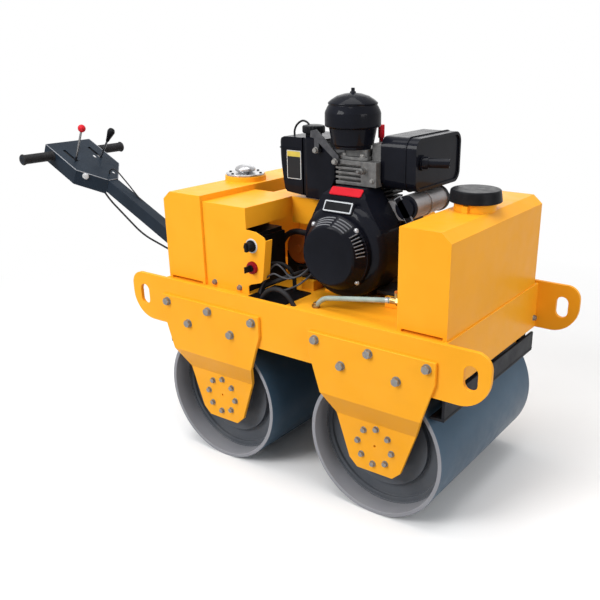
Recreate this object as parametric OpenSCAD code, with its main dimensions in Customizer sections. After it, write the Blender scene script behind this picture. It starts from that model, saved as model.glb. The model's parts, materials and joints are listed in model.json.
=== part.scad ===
// Walk-behind double-drum roller: rigid frame, two smooth drums, diesel engine, fold-up handle.
// Millimetres, +X forward, +Y to the left, +Z up, ground at Z = 0.

/* [Drums] */
// diameter of both drums
drum_d = 425; // [400:1:450]
// width of both drums
drum_w = 600; // [560:1:640]
// thickness of the rolled drum shell
shell_t = 12; // [10:1:16]
// distance between the two drum axles
wheelbase = 573; // [560:1:600]
// depth of the drum head below the shell end
head_recess = 72; // [66:1:76]

/* [Frame] */
// height of the side beams
beam_h = 150; // [140:1:160]
// thickness of the side beams and crossbeams
plate_t = 12; // [10:1:14]
// thickness of the leg plates
leg_t = 10; // [8:1:12]
// free gap between a drum end and the side beam
drum_side_gap = 8; // [6:1:12]
// how far the lug ends reach past the drum axles
lug_reach = 340; // [330:1:360]
// width of the lifting slots in the lugs
slot_w = 38; // [30:1:44]
// height of the lifting slots in the lugs
slot_h = 66; // [56:1:76]

/* [Tanks] */
// length of the front water tank along X
front_tank_l = 144; // [130:1:150]
// length of the rear tank along X
rear_tank_l = 154; // [140:1:160]
// height of the tanks
tank_h = 271; // [240:1:280]
// sheet thickness of tanks and covers
sheet_t = 3; // [2:0.5:4]
// diameter of the front tank cap
front_cap_d = 142; // [120:1:150]

/* [Engine] */
// height of the crankshaft above the engine base
crank_h = 142; // [142:1:150]
// outside radius of the blower housing
blower_r = 138; // [130:1:140]
// radius of the recoil cover face
recoil_r = 78; // [70:1:86]
// widest diameter of the air cleaner
cleaner_d = 154; // [140:1:156]

/* [Handle] */
// angle of the handle above level in work position
handle_angle = 26.3; // [24:0.1:30]
// width of the handle boom
boom_w = 42; // [36:1:46]
// height of the handle boom
boom_h = 50; // [44:1:54]
// length of the console top behind its front slopes
console_l = 185; // [170:1:200]
// width of the console
console_w = 198; // [180:1:220]
// length of the handlebar over both grips
bar_l = 454; // [420:1:500]

/* [Hidden] */
$fn = 64;
eps = 0.5;

// shared levels and half widths
axle_z = drum_d / 2;
axle_x = wheelbase / 2;
half_w = drum_w / 2;
beam_in = half_w + drum_side_gap;
beam_out = beam_in + plate_t;
beam_z0 = drum_d;
beam_top = beam_z0 + beam_h;
lug_x = axle_x + lug_reach;
lug_r_top = 42;
lug_r_low = 84;
slot_x = lug_x - 53;
slot_z = beam_z0 + 79;
cross_back = 4.5;
cross_x = axle_x + axle_z - cross_back;
deck_t = 8;
deck_top = beam_top - 6;

// legs: straight top plate, joggle inward, lower plate inside the drum end
leg_out = beam_out + leg_t;
leg_low_out = half_w - 7;
leg_low_in = leg_low_out - leg_t;
leg_top_z = beam_top - 50;
fold_top_z = axle_z + 138;
fold_low_z = axle_z + 70;
leg_half_top = 197;
leg_half_fold = 160;
leg_half_low = 129;
leg_half_foot = 84;
leg_foot_z = axle_z - 60;
leg_bottom_z = axle_z - 84;
leg_half_bottom = 58;
leg_shoulder_z = beam_z0 + 40;

// drum inside
shell_in = drum_d / 2 - shell_t;
head_t = 14;
head_y = half_w - head_recess - head_t;
hub_r = 80;
hub_plate_r = 140;
hub_plate_t = 16;
ring_w = 16;
ring_t = 10;
dust_hole_r = 3.5;
hub_flange_r = 72;
hub_flange_t = 14;
stub_r = 30;
stub_gap = 0.5;
hub_gap = 6;
hub_end_y = leg_low_in - hub_flange_t - hub_gap;
axle_tube_r = 55;

// tanks
tank_half = beam_in - 20;
tank_relief = 8;
tank_z1 = deck_top + tank_h;
front_tank_x1 = cross_x - 5;
front_tank_x0 = front_tank_x1 - front_tank_l;
rear_tank_x0 = -(cross_x - 9);
rear_tank_x1 = rear_tank_x0 + rear_tank_l;
tank_chamfer_x = 28;
tank_chamfer_z = 24;
neck_h = 22;
front_cap_t = 33;
front_cap_draft = 4;
neck_wall = 6;
neck_lug_w = 16;
filler_h = 16;
filler_plate_t = 7;
filler_cap_r = 33;
filler_r = 62;

// control box and belt guard
box_y0 = -(tank_half - 8);
box_w = 211;
box_lip = 24;
box_x0 = rear_tank_x1;
box_l = 168;
box_x1 = box_x0 + box_l;
box_top = tank_z1 - 17;
awning_h = 60;
wing_x = box_x1 + 72;
wing_z1 = box_top - 62;
wing_z0 = beam_top + 30;
guard_y0 = 176;
guard_y1 = beam_in - 22;
guard_z1 = beam_top + 192;
hood_y0 = box_y0 + box_w;
hood_x0 = box_x1 - 92;
hood_x1 = box_x1 + 117;
hood_h = 80;
hood_lip = 30;
wing_lip = 30;
switch_x = box_x1 + 20;
switch_z = beam_top + 142;
key_z = beam_top + 78;
battery_h = 165;
battery_gap = 10;

// engine
eng_x = 99;
eng_z = beam_top;
crank_z = eng_z + crank_h;
block_x0 = eng_x - 96;
block_x1 = eng_x + 92;
block_y0 = -66;
block_y1 = 140;
block_top = eng_z + 222;
cyl_top = block_top + 90;
head_x0 = eng_x - 68;
head_x1 = eng_x + 66;
head_y0 = -112;
head_y1 = 50;
head_top = cyl_top + 98;
cover_h = 30;
fin_gap = 6;
fin_pitch = 13;
fin_depth = 14;
shaft_hole_r = 30;
shaft_r = 17;
blower_y0 = -195;
recoil_y0 = -250;
louver_r = recoil_r + 9;
louver_w = 2.6;
louver_pitch = 5;
comb_w = 4;
duct_top = eng_z + 310;
ftank_x0 = eng_x - 283;
ftank_x1 = eng_x - 75;
ftank_y0 = -100;
ftank_y1 = 70;
ftank_z0 = eng_z + 267;
ftank_z1 = eng_z + 428;
lobe_x = ftank_x0 + 94;
cleaner_x = eng_x - 26;
cleaner_y = -88;
cleaner_r = cleaner_d / 2;
muf_x0 = head_x1;
muf_x1 = muf_x0 + 110;
muf_y0 = -90;
muf_y1 = 170;
muf_z0 = eng_z + 305;
muf_z1 = eng_z + 447;
muf_r = 32;
muf_rim = 5;
tail_r = 12.5;
tail_l = 70;
tail_collar_l = 14;
tail_turn = 22;
tail_y = -50;
tail_z = muf_z0 + 77;
starter_x = eng_x + 146;
starter_z = eng_z + 262;
starter_r = 34;
starter_y0 = -84;
starter_y1 = 92;
rail_off = 76;
rail_w = 44;
foot_h = 30;
foot_top = deck_top + foot_h + 10;
foot_in = sqrt(max(0, pow(blower_r, 2) - pow(crank_z - foot_top, 2))) + 2;
pump_x = eng_x - 249;
pump_z = eng_z + 84;
pump_r = 50;
pump_body_r = 42;
pump_y0 = -60;

// handle, built level with the pivot at the origin and the boom along -X
pivot_x = -(axle_x + 273);
pivot_z = beam_z0 + 65;
pin_r = 10;
pin_gap = 0.5;
cheek_gap = 5;
cheek_t = 10;
pin_half = boom_w / 2 + cheek_gap + cheek_t + 6;
stop_r = 8;
stop_reach = 34;
stop_drop = boom_h / 2 + stop_r + 0.5;
stop_x = pivot_x - stop_reach * cos(handle_angle) - stop_drop * sin(handle_angle);
stop_z = pivot_z + stop_reach * sin(handle_angle) - stop_drop * cos(handle_angle);
console_rear = -865;
console_front = console_rear + console_l;
console_tip = console_front + 92;
console_top = boom_h / 2 + 2;
console_h = 60;
bar_x = console_rear + 47;
bar_z = 4;
bar_r = 13;
grip_r = 17;
lever_x = console_rear + 125;
lever_inset = 43;
lever_y = console_w / 2 - lever_inset;
lever_r = 4;
knob_r = 14;

// the middle of the wheelbase sits this far ahead of the middle of the whole length
rear_end = pivot_x + console_rear * cos(handle_angle) + (console_top - console_h) * sin(handle_angle);
mid_x = -(lug_x + rear_end) / 2;

yellow = [0.98, 0.66, 0.16];
dark = [0.1, 0.11, 0.13];
drum_grey = [0.33, 0.38, 0.45];
steel = [0.62, 0.63, 0.64];
rubber = [0.05, 0.05, 0.05];
water = [0.55, 0.62, 0.58];

// helpers
module at_mid() {
    translate([mid_x, 0, 0]) children();
}

module along_y(y0, t) {
    translate([0, y0 + t, 0]) rotate([90, 0, 0]) linear_extrude(t) children();
}

module rounded_outline(x0, x1, y0, y1, r) {
    translate([x0 + r, y0]) square([x1 - x0 - 2 * r, y1 - y0]);
    translate([x0, y0 + r]) square([x1 - x0, y1 - y0 - 2 * r]);
    for (x = [x0 + r, x1 - r]) {
        for (y = [y0 + r, y1 - r]) {
            translate([x, y]) circle(r = r);
        }
    }
}

module along_x(x0, l) {
    translate([x0, 0, 0]) rotate([90, 0, 90]) linear_extrude(l) children();
}

module rod_y(x, z, r, y0, y1) {
    translate([x, y1, z]) rotate([90, 0, 0]) cylinder(r = r, h = y1 - y0);
}

module rod_x(y, z, r, x0, x1) {
    translate([x0, y, z]) rotate([0, 90, 0]) cylinder(r = r, h = x1 - x0);
}

module box(x0, x1, y0, y1, z0, z1) {
    translate([x0, y0, z0]) cube([x1 - x0, y1 - y0, z1 - z0]);
}

module on_handle() {
    at_mid() translate([pivot_x, 0, pivot_z]) rotate([0, handle_angle, 0]) children();
}

// swept round tube through route points
function unit(v) = v / norm(v);
function heading(p, i) =
    i == 0 ? unit(p[1] - p[0]) :
    i == len(p) - 1 ? unit(p[i] - p[i - 1]) :
    unit(unit(p[i] - p[i - 1]) + unit(p[i + 1] - p[i]));
function side_of(t) = unit(cross(abs(t[1]) > 0.9 ? [1, 0, 0] : [0, 1, 0], t));
function ring_at(p, i, r, n) =
    let (t = heading(p, i), u = side_of(t), v = cross(t, u))
    [for (k = [0 : n - 1]) p[i] + r * (cos(360 * k / n) * u + sin(360 * k / n) * v)];
function curve_point(p0, p1, p2, p3, t) =
    0.5 * (2 * p1 + (p2 - p0) * t + (2 * p0 - 5 * p1 + 4 * p2 - p3) * t * t
    + (3 * p1 - p0 - 3 * p2 + p3) * t * t * t);
function smooth_route(p, m) = concat(
    [for (i = [0 : len(p) - 2]) for (j = [0 : m - 1])
        curve_point(p[max(i - 1, 0)], p[i], p[i + 1], p[min(i + 2, len(p) - 1)], j / m)],
    [p[len(p) - 1]]);
// straight runs joined by arcs of one radius at the corners
function corner_arc(a, b, c, r, n) =
    let (u = unit(a - b), v = unit(c - b), half = acos(u * v) / 2,
        mid = b + unit(u + v) * r / sin(half), e = (b + u * r / tan(half) - mid) / r)
    [for (i = [0 : n]) let (t = (180 - 2 * half) * i / n) mid + r * (cos(t) * e - sin(t) * u)];
function bent_route(p, r, n) = concat([p[0]],
    [for (i = [1 : len(p) - 2]) each corner_arc(p[i - 1], p[i], p[i + 1], r, n)], [p[len(p) - 1]]);
module tube_on(p, r, n) {
    m = len(p);
    points = [for (i = [0 : m - 1]) each ring_at(p, i, r, n)];
    sides = [for (i = [0 : m - 2]) for (k = [0 : n - 1])
        [i * n + k, i * n + (k + 1) % n, (i + 1) * n + (k + 1) % n, (i + 1) * n + k]];
    first_cap = [[for (k = [0 : n - 1]) n - 1 - k]];
    last_cap = [[for (k = [0 : n - 1]) (m - 1) * n + k]];
    polyhedron(points, concat(sides, first_cap, last_cap));
}

// frame
module beam_outline() {
    low = lug_x - lug_r_low;
    top = lug_x - lug_r_top;
    difference() {
        union() {
            translate([-low, beam_z0]) square([2 * low, beam_h]);
            translate([-top, beam_z0 + lug_r_low]) square([2 * top, beam_h - lug_r_low]);
            translate([-lug_x, beam_z0 + lug_r_low]) square([2 * lug_x, beam_h - lug_r_low - lug_r_top]);
            for (s = [-1, 1]) {
                intersection() {
                    translate([s * low, beam_z0 + lug_r_low]) circle(r = lug_r_low);
                    translate([s * low - lug_r_low, beam_z0]) square([2 * lug_r_low, lug_r_low]);
                }
                translate([s * top, beam_top - lug_r_top]) circle(r = lug_r_top);
            }
        }
        for (s = [-1, 1]) {
            translate([s * slot_x, slot_z]) slot_outline(slot_w, slot_h);
        }
    }
}

module slot_outline(w, h) {
    translate([-w / 2, -(h - w) / 2]) square([w, h - w]);
    translate([0, (h - w) / 2]) circle(d = w);
    translate([0, -(h - w) / 2]) circle(d = w);
}

module side_beam_right() {
    color(yellow) at_mid() along_y(-beam_out, plate_t) beam_outline();
}

module side_beam_left() {
    color(yellow) at_mid() along_y(beam_in, plate_t) beam_outline();
}

module front_crossbeam() {
    color(yellow) at_mid() box(cross_x - plate_t, cross_x, -beam_in, beam_in, beam_z0, deck_top);
}

module rear_crossbeam() {
    color(yellow) at_mid() box(-cross_x, -cross_x + plate_t, -beam_in, beam_in, beam_z0, deck_top);
}

module deck_plate() {
    color(yellow) at_mid()
        box(-cross_x + plate_t, cross_x - plate_t, -beam_in, beam_in, deck_top - deck_t, deck_top);
}

module leg_outline() {
    polygon([[-leg_half_top, leg_top_z], [-leg_half_top, leg_shoulder_z], [-leg_half_fold, fold_top_z],
        [-leg_half_low, fold_low_z], [-leg_half_foot, leg_foot_z], [-leg_half_bottom, leg_bottom_z],
        [leg_half_bottom, leg_bottom_z], [leg_half_foot, leg_foot_z], [leg_half_low, fold_low_z],
        [leg_half_fold, fold_top_z], [leg_half_top, leg_shoulder_z], [leg_half_top, leg_top_z]]);
}

module leg_profile() {
    polygon([[-leg_out, leg_top_z + eps], [-leg_out, fold_top_z], [-leg_low_out, fold_low_z],
        [-leg_low_out, leg_bottom_z - eps], [-leg_low_in, leg_bottom_z - eps],
        [-leg_low_in, fold_low_z + leg_t / 3], [-beam_out, fold_top_z + leg_t / 3], [-beam_out,
            leg_top_z + eps]]);
}

module leg_right(x) {
    translate([x, 0, 0]) difference() {
        intersection() {
            along_y(-leg_out - eps, leg_out - leg_low_in + 2 * eps) leg_outline();
            along_x(-leg_half_top - eps, 2 * leg_half_top + 2 * eps) leg_profile();
        }
        rod_y(0, axle_z, dust_hole_r, -leg_out, -leg_low_in + eps);
    }
}

module leg_front_right() {
    color(yellow) at_mid() leg_right(axle_x);
}

module leg_front_left() {
    color(yellow) at_mid() mirror([0, 1, 0]) leg_right(axle_x);
}

module leg_rear_right() {
    color(yellow) at_mid() leg_right(-axle_x);
}

module leg_rear_left() {
    color(yellow) at_mid() mirror([0, 1, 0]) leg_right(-axle_x);
}

// fixed bearing hubs bolted to the inside of the legs
module hub_pair(x) {
    for (s = [0, 1]) {
        mirror([0, s, 0]) {
            rod_y(x, axle_z, hub_flange_r, leg_low_in - hub_flange_t, leg_low_in);
            rod_y(x, axle_z, stub_r, head_y - 20, leg_low_in - hub_flange_t + eps);
        }
    }
}

module front_hubs() {
    color(dark) at_mid() hub_pair(axle_x);
}

module rear_hubs() {
    color(dark) at_mid() hub_pair(-axle_x);
}

// scraper angle ahead of the drum on two hangers behind the crossbeam
scraper_half = half_w - 4;
scraper_gap = 6;
scraper_t = 8;
scraper_h = 62;
scraper_drop = 12.5;
scraper_z0 = beam_z0 - scraper_drop - scraper_h;
scraper_x = cross_x + 2;
scraper_in = axle_x + sqrt(pow(axle_z + scraper_gap, 2) - pow(scraper_z0 - axle_z, 2));
hanger_w = 56;
hanger_y = half_w - 60;
hanger_x = cross_x - plate_t;
hanger_top = beam_z0 + 76;
module scraper_front() {
    box(scraper_x - scraper_t, scraper_x, -scraper_half, scraper_half, scraper_z0, scraper_z0 + scraper_h);
    box(scraper_in, scraper_x, -scraper_half, scraper_half, scraper_z0, scraper_z0 + scraper_t);
    for (s = [-1, 1]) {
        box(hanger_x - scraper_t, hanger_x, s * hanger_y - hanger_w / 2, s * hanger_y + hanger_w / 2,
            scraper_z0, hanger_top);
    }
}

module front_scraper() {
    color(dark) at_mid() scraper_front();
}

module rear_scraper() {
    color(dark) at_mid() mirror([1, 0, 0]) scraper_front();
}

// sprinkler pipes above the drums under the deck
module sprinkler_pipes() {
    color(water) at_mid() for (s = [-1, 1]) {
        rod_y(s * (axle_x + 60), deck_top - 60, 11, -270, 270);
        for (k = [-1, 1]) {
            box(s * (axle_x + 60) - 6, s * (axle_x + 60) + 6, k * 200 - 10, k * 200 + 10,
                deck_top - 55, deck_top - deck_t);
        }
    }
}

// tanks
module tank_shape(x0, x1, front) {
    c = front ? x1 : x0;
    d = front ? -1 : 1;
    difference() {
        along_y(-tank_half, 2 * tank_half) polygon([[x0 + x1 - c, deck_top], [x0 + x1 - c, tank_z1],
            [c + d * tank_chamfer_x, tank_z1], [c, tank_z1 - tank_chamfer_z], [c, deck_top]]);
        along_y(-tank_half + sheet_t, 2 * tank_half - 2 * sheet_t) polygon([
            [x0 + x1 - c - d * sheet_t, deck_top + tank_relief + sheet_t],
            [x0 + x1 - c - d * sheet_t, tank_z1 - sheet_t],
            [c + d * (tank_chamfer_x + 1), tank_z1 - sheet_t],
            [c + d * sheet_t, tank_z1 - tank_chamfer_z - 1],
            [c + d * sheet_t, deck_top + tank_relief + sheet_t]]);
        box(x0 + 12, x1 - 12, -tank_half - eps, tank_half + eps, deck_top - eps, deck_top + tank_relief);
    }
}

front_fill_x = (front_tank_x0 + front_tank_x1) / 2 - 8;
rear_fill_x = (rear_tank_x0 + rear_tank_x1) / 2;

module front_tank() {
    neck_r = front_cap_d / 2 - 14;
    color(yellow) at_mid() difference() {
        union() {
            tank_shape(front_tank_x0, front_tank_x1, true);
            translate([front_fill_x, 0, tank_z1 - eps]) cylinder(r = neck_r, h = neck_h + eps);
            for (s = [-1, 1]) {
                box(front_fill_x - neck_lug_w / 2, front_fill_x + neck_lug_w / 2,
                    s * neck_r - neck_lug_w / 2,
                    s * neck_r + neck_lug_w / 2, tank_z1 - eps, tank_z1 + neck_h - 4);
            }
        }
        translate([front_fill_x, 0, tank_z1 - 10]) cylinder(r = neck_r - neck_wall, h = neck_h + 20);
    }
}

module front_tank_cap() {
    r = front_cap_d / 2;
    t = front_cap_t;
    d = front_cap_draft;
    color(dark) at_mid() translate([front_fill_x, 0, tank_z1 + neck_h]) rotate_extrude()
        polygon([[0, 0], [r, 0], [r + 1, 3], [r - d + 1, t - 4], [r - d, t - 1], [r - d - 3, t], [0, t]]);
}

module rear_tank() {
    color(yellow) at_mid() difference() {
        union() {
            tank_shape(rear_tank_x0, rear_tank_x1, false);
            translate([rear_fill_x, 0, tank_z1 - eps]) cylinder(r = filler_r + 4, h = filler_h + eps);
        }
        translate([rear_fill_x, 0, tank_z1 - 10]) cylinder(r = filler_cap_r - 3, h = filler_h + 24);
    }
}

module rear_tank_cap() {
    r = filler_cap_r;
    t = filler_plate_t;
    color(steel) at_mid() translate([rear_fill_x, 0, tank_z1 + filler_h]) rotate_extrude()
        polygon([[0, 0], [filler_r, 0], [filler_r, t], [r - 10, t], [r - 10, t + 4], [r - 2, t + 5], [r,
            t + 8],
            [r, t + 13], [r - 4, t + 18], [r - 12, t + 22], [r - 24, t + 24], [0, t + 25]]);
}

// control box: side panel with a wing, top, front awning and far panel, open below
module control_box() {
    color(yellow) at_mid() {
        along_y(box_y0, sheet_t) polygon([[box_x0, deck_top], [box_x0, box_top], [box_x1, box_top],
            [box_x1, wing_z1], [box_x1 + 36, wing_z1 - 2], [wing_x - 6, wing_z1 - 14], [wing_x,
                wing_z1 - 24],
            [wing_x - 16, wing_z0 + 14], [wing_x - 24, wing_z0 + 6], [box_x1 + 8, wing_z0 - 6],
            [box_x1, wing_z0 - 12], [box_x1, deck_top]]);
        box(box_x0, box_x1, box_y0, hood_y0 + box_lip, box_top - sheet_t, box_top);
        box(box_x1 - sheet_t, box_x1, box_y0, hood_y0, box_top - awning_h, box_top);
        box(box_x0, hood_x0, hood_y0 - sheet_t, hood_y0, deck_top, box_top);
        along_y(box_y0, wing_lip) polygon([[wing_x - sheet_t, wing_z1 - 23], [wing_x, wing_z1 - 24],
            [wing_x - 16, wing_z0 + 14], [wing_x - 16 - sheet_t, wing_z0 + 14]]);
    }
}

// hood beside the control box, over the pump drive
module pump_hood() {
    color(yellow) at_mid() {
        translate([0, 0, box_top - sheet_t]) linear_extrude(sheet_t) polygon([[box_x1, hood_y0], [hood_x1,
            hood_y0],
            [hood_x1, guard_y0], [hood_x0, guard_y0], [hood_x0, hood_y0 + box_lip], [box_x1,
                hood_y0 + box_lip]]);
        box(box_x1, hood_x1, hood_y0, hood_y0 + sheet_t, box_top - hood_h, box_top);
        box(hood_x1 - sheet_t, hood_x1, hood_y0, guard_y0, box_top - hood_h, box_top);
        box(hood_x0, hood_x0 + sheet_t, hood_y0 + box_lip, guard_y0, box_top - hood_lip, box_top);
    }
}

module control_switches() {
    color(dark) at_mid() {
        rod_y(switch_x, switch_z, 17, box_y0 - 6, box_y0);
        rod_y(switch_x, switch_z, 12, box_y0 - 22, box_y0 - 5);
        box(switch_x - 4, switch_x + 4, box_y0 - 28, box_y0 - 20, switch_z - 13, switch_z + 13);
        rod_y(switch_x, key_z, 15, box_y0 - 8, box_y0);
        rod_y(switch_x, key_z, 10, box_y0 - 14, box_y0 - 7);
        box(switch_x - 1.5, switch_x + 1.5, box_y0 - 36, box_y0 - 13, key_z - 9, key_z + 9);
    }
}

module battery() {
    color(rubber) at_mid() {
        box(box_x0 + battery_gap, box_x1 - 14, box_y0 + 22, hood_y0 - 20, deck_top,
            deck_top + battery_h - 12);
        box(box_x0 + battery_gap + 6, box_x1 - 20, box_y0 + 28, hood_y0 - 26, deck_top + battery_h - 13,
            deck_top + battery_h);
    }
}

module belt_guard() {
    color(yellow) at_mid() difference() {
        along_y(guard_y0, guard_y1 - guard_y0) guard_outline(0);
        along_y(guard_y0 + sheet_t, guard_y1 - guard_y0 - 2 * sheet_t) guard_outline(sheet_t);
        rod_y(eng_x, crank_z, shaft_hole_r, guard_y0 - eps, guard_y0 + sheet_t + eps);
    }
}

module guard_outline(inset) {
    z0 = deck_top - (inset > 0 ? eps : 0);
    translate([rear_tank_x1 + 2 + inset, z0])
        square([eng_x - rear_tank_x1 - 2 - inset, guard_z1 - inset - z0]);
    translate([eng_x - eps, z0]) square([guard_z1 - crank_z - inset + eps, crank_z - z0]);
    translate([eng_x, crank_z]) circle(r = guard_z1 - crank_z - inset);
}

// engine
module engine_rails() {
    color(yellow) at_mid() {
        for (s = [-1, 1]) {
            box(eng_x + s * rail_off - rail_w / 2, eng_x + s * rail_off + rail_w / 2, -130, 150, deck_top,
                eng_z);
            box(eng_x + s * (rail_off + 70) - rail_w / 2, eng_x + s * (rail_off + 70) + rail_w / 2, -150,
                -104,
                deck_top, deck_top + foot_h);
        }
    }
}

module engine_block() {
    color(dark) at_mid() {
        box(block_x0, block_x1, block_y0, block_y1, eng_z, eng_z + 16);
        box(block_x0 + 14, block_x1 - 14, block_y0, block_y1, eng_z + 10, block_top);
        for (s = [-1, 1]) {
            far = eng_x + s * (rail_off + 102);
            near = eng_x + s * foot_in;
            root = eng_x + s * (rail_off - 2);
            box(min(far, near), max(far, near), block_y0 - 70, block_y0 + eps, foot_top - 10, foot_top);
            box(min(far, root), max(far, root), block_y0, block_y0 + 20, foot_top - 10, foot_top);
        }
        rod_x((block_y0 + block_y1) / 2, crank_z - 10, 66, block_x1 - 20, block_x1 - 4);
        rod_y(eng_x, crank_z, 70, block_y1 - eps, block_y1 + 12);
        rod_y(eng_x, crank_z, shaft_r, block_y1 - eps, guard_y0 + 40);
    }
}

module engine_cylinder() {
    color(dark) at_mid() {
        translate([eng_x, -9, block_top]) cylinder(r = 50, h = cyl_top - block_top);
        for (i = [0 : 6]) {
            box(eng_x - 64, eng_x + 60, block_y0 + 4, 44, block_top + 8 + i * 12, block_top + 13 + i * 12);
        }
    }
}

module cylinder_head() {
    color(steel) at_mid() {
        difference() {
            box(head_x0, head_x1, head_y0, head_y1, cyl_top, head_top - cover_h);
            for (i = [0 : 3]) {
                z = cyl_top + 10 + i * fin_pitch;
                box(head_x0 - eps, head_x0 + 84, head_y0 - eps, head_y0 + fin_depth, z, z + fin_gap);
                box(head_x0 - eps, head_x1 + eps, head_y1 - fin_depth, head_y1 + eps, z, z + fin_gap);
            }
        }
        box(head_x1 - 34, muf_x0, -80, -34, head_top - cover_h - eps, head_top + 16);
        rod_y(eng_x + 26, cyl_top + 44, 9, head_y0 - 20, head_y0 + 4);
        rod_y(eng_x + 26, cyl_top + 44, 5, head_y0 - 34, head_y0 - 18);
    }
}

// valve cover on the head
module head_cover() {
    color(steel) at_mid() {
        translate([0, 0, head_top - cover_h]) linear_extrude(10)
            rounded_outline(head_x0 + 6, head_x1 - 36, head_y0 + 4, head_y1 - 4, 14);
        translate([0, 0, head_top - cover_h + 9]) linear_extrude(cover_h - 9)
            rounded_outline(head_x0 + 14, head_x1 - 42, head_y0 + 12, head_y1 - 12, 16);
    }
}

// red oil filler cap on the valve cover
module oil_cap() {
    color([0.75, 0.06, 0.08]) at_mid() translate([head_x1 - 49, head_y1 - 60, head_top]) {
        cylinder(r = 6, h = 24);
        translate([0, 0, 23]) cylinder(r = 9, h = 36);
    }
}

module blower_housing() {
    r = blower_r;
    d = block_y0 - blower_y0;
    color(dark) at_mid() difference() {
        union() {
            translate([eng_x, block_y0, crank_z]) rotate([90, 0, 0]) rotate_extrude() polygon([[0, 0], [r,
                0],
                [r, d - 37], [r - 2, d - 26], [r - 6, d - 16], [r - 13, d - 8], [r - 24, d - 2], [r - 36,
                    d], [0, d]]);
            intersection() {
                along_y(blower_y0, d) duct_outline(0);
                along_x(eng_x - r, 2 * r) polygon([[block_y0, crank_z], [block_y0, duct_top],
                    [blower_y0 + 54, duct_top], [blower_y0 + 32, duct_top - 20], [blower_y0 + 26,
                        duct_top - 60],
                    [blower_y0 + 26, crank_z]]);
            }
        }
        rod_y(eng_x, crank_z, r - 6, blower_y0 + 42, block_y0 + eps);
        along_y(blower_y0 + 60, d) duct_outline(6);
    }
}

module duct_outline(inset) {
    polygon([[eng_x - 126 + inset, crank_z + 50], [eng_x - 76 + inset, duct_top - 18 - inset],
        [eng_x - 56 + inset, duct_top - inset], [eng_x + 44 - inset, duct_top - inset],
        [eng_x + 62 - inset, duct_top - 14 - inset], [eng_x + 116 - inset, crank_z + 74]]);
}

module recoil_cover() {
    d = blower_y0 - recoil_y0;
    color(dark) at_mid() difference() {
        translate([eng_x, blower_y0, crank_z]) rotate([90, 0, 0]) rotate_extrude()
            polygon([[0, 0], [106, 0], [105, 14], [101, 20], [recoil_r + 7, d - 6], [recoil_r + 3, d - 1],
                [recoil_r, d], [0, d]]);
        for (k = [0 : 3]) {
            intersection() {
                ring_slot(louver_r + k * louver_pitch, louver_w, recoil_y0 + 6 + k * louver_pitch * 1.4);
                union() {
                    sector(54, 80);
                    sector(86, 112);
                }
            }
        }
        for (k = [0 : 5]) {
            translate([eng_x, 0, crank_z]) rotate([0, -8 - k * 6, 0])
                box(recoil_r + 10, 112, recoil_y0 + 12, blower_y0 - 8, -comb_w / 2, comb_w / 2);
        }
    }
}

module ring_slot(r, w, y) {
    difference() {
        rod_y(eng_x, crank_z, r + w, recoil_y0, y + 5);
        rod_y(eng_x, crank_z, r, recoil_y0 - eps, y + 5 + eps);
    }
}

module sector(a0, a1) {
    far = 2 * blower_r;
    along_y(recoil_y0 - eps, blower_y0 - recoil_y0 + eps) polygon([[eng_x, crank_z],
        [eng_x + far * cos(a0), crank_z + far * sin(a0)], [eng_x + far * cos(a1),
            crank_z + far * sin(a1)]]);
}

module engine_fuel_tank() {
    color(dark) at_mid() {
        difference() {
            union() {
                intersection() {
                    along_y(ftank_y0, ftank_y1 - ftank_y0) polygon([[ftank_x0 + 30, ftank_z0 + 2],
                        [ftank_x0 + 22, ftank_z0 + 10], [ftank_x0 + 2, ftank_z1 - 34], [ftank_x0 + 4,
                            ftank_z1 - 18],
                        [ftank_x0 + 12, ftank_z1 - 5], [ftank_x0 + 24, ftank_z1], [ftank_x1 - 44, ftank_z1],
                        [ftank_x1 - 44, ftank_z0 - 4], [lobe_x, ftank_z0 - 4]]);
                    translate([0, 0, ftank_z0 - 20]) linear_extrude(ftank_z1 - ftank_z0 + 40)
                        rounded_outline(ftank_x0, ftank_x1, ftank_y0, ftank_y1, 18);
                }
                intersection() {
                    along_y(ftank_y0 - 6, ftank_y1 - ftank_y0 + 6) polygon([[lobe_x, ftank_z0 - 8],
                        [lobe_x, ftank_z1 - 6], [lobe_x + 8, ftank_z1], [ftank_x1 - 52, ftank_z1],
                        [ftank_x1 - 40, ftank_z1 - 8], [ftank_x1 - 34, ftank_z1 - 26], [ftank_x1 - 8,
                            ftank_z1 - 36],
                        [ftank_x1, ftank_z1 - 44], [ftank_x1, ftank_z0 + 60], [ftank_x1 - 34,
                            ftank_z0 - 8]]);
                    translate([0, 0, ftank_z0 - 20]) linear_extrude(ftank_z1 - ftank_z0 + 40)
                        rounded_outline(lobe_x, ftank_x1, ftank_y0 - 6, ftank_y1, 18);
                }
                translate([0, 0, ftank_z1 - 34]) linear_extrude(sheet_t)
                    rounded_outline(ftank_x0 - 2, lobe_x, ftank_y0 - 3, ftank_y1 + 3, 20);
            }
            box(lobe_x - 6, lobe_x, ftank_y0 - 10, ftank_y0 + 10, ftank_z0 - 20, ftank_z1 + 10);
        }
        box(ftank_x1 - 12, head_x0, 10, 40, ftank_z0 + 70, ftank_z0 + 82);
    }
}

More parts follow.
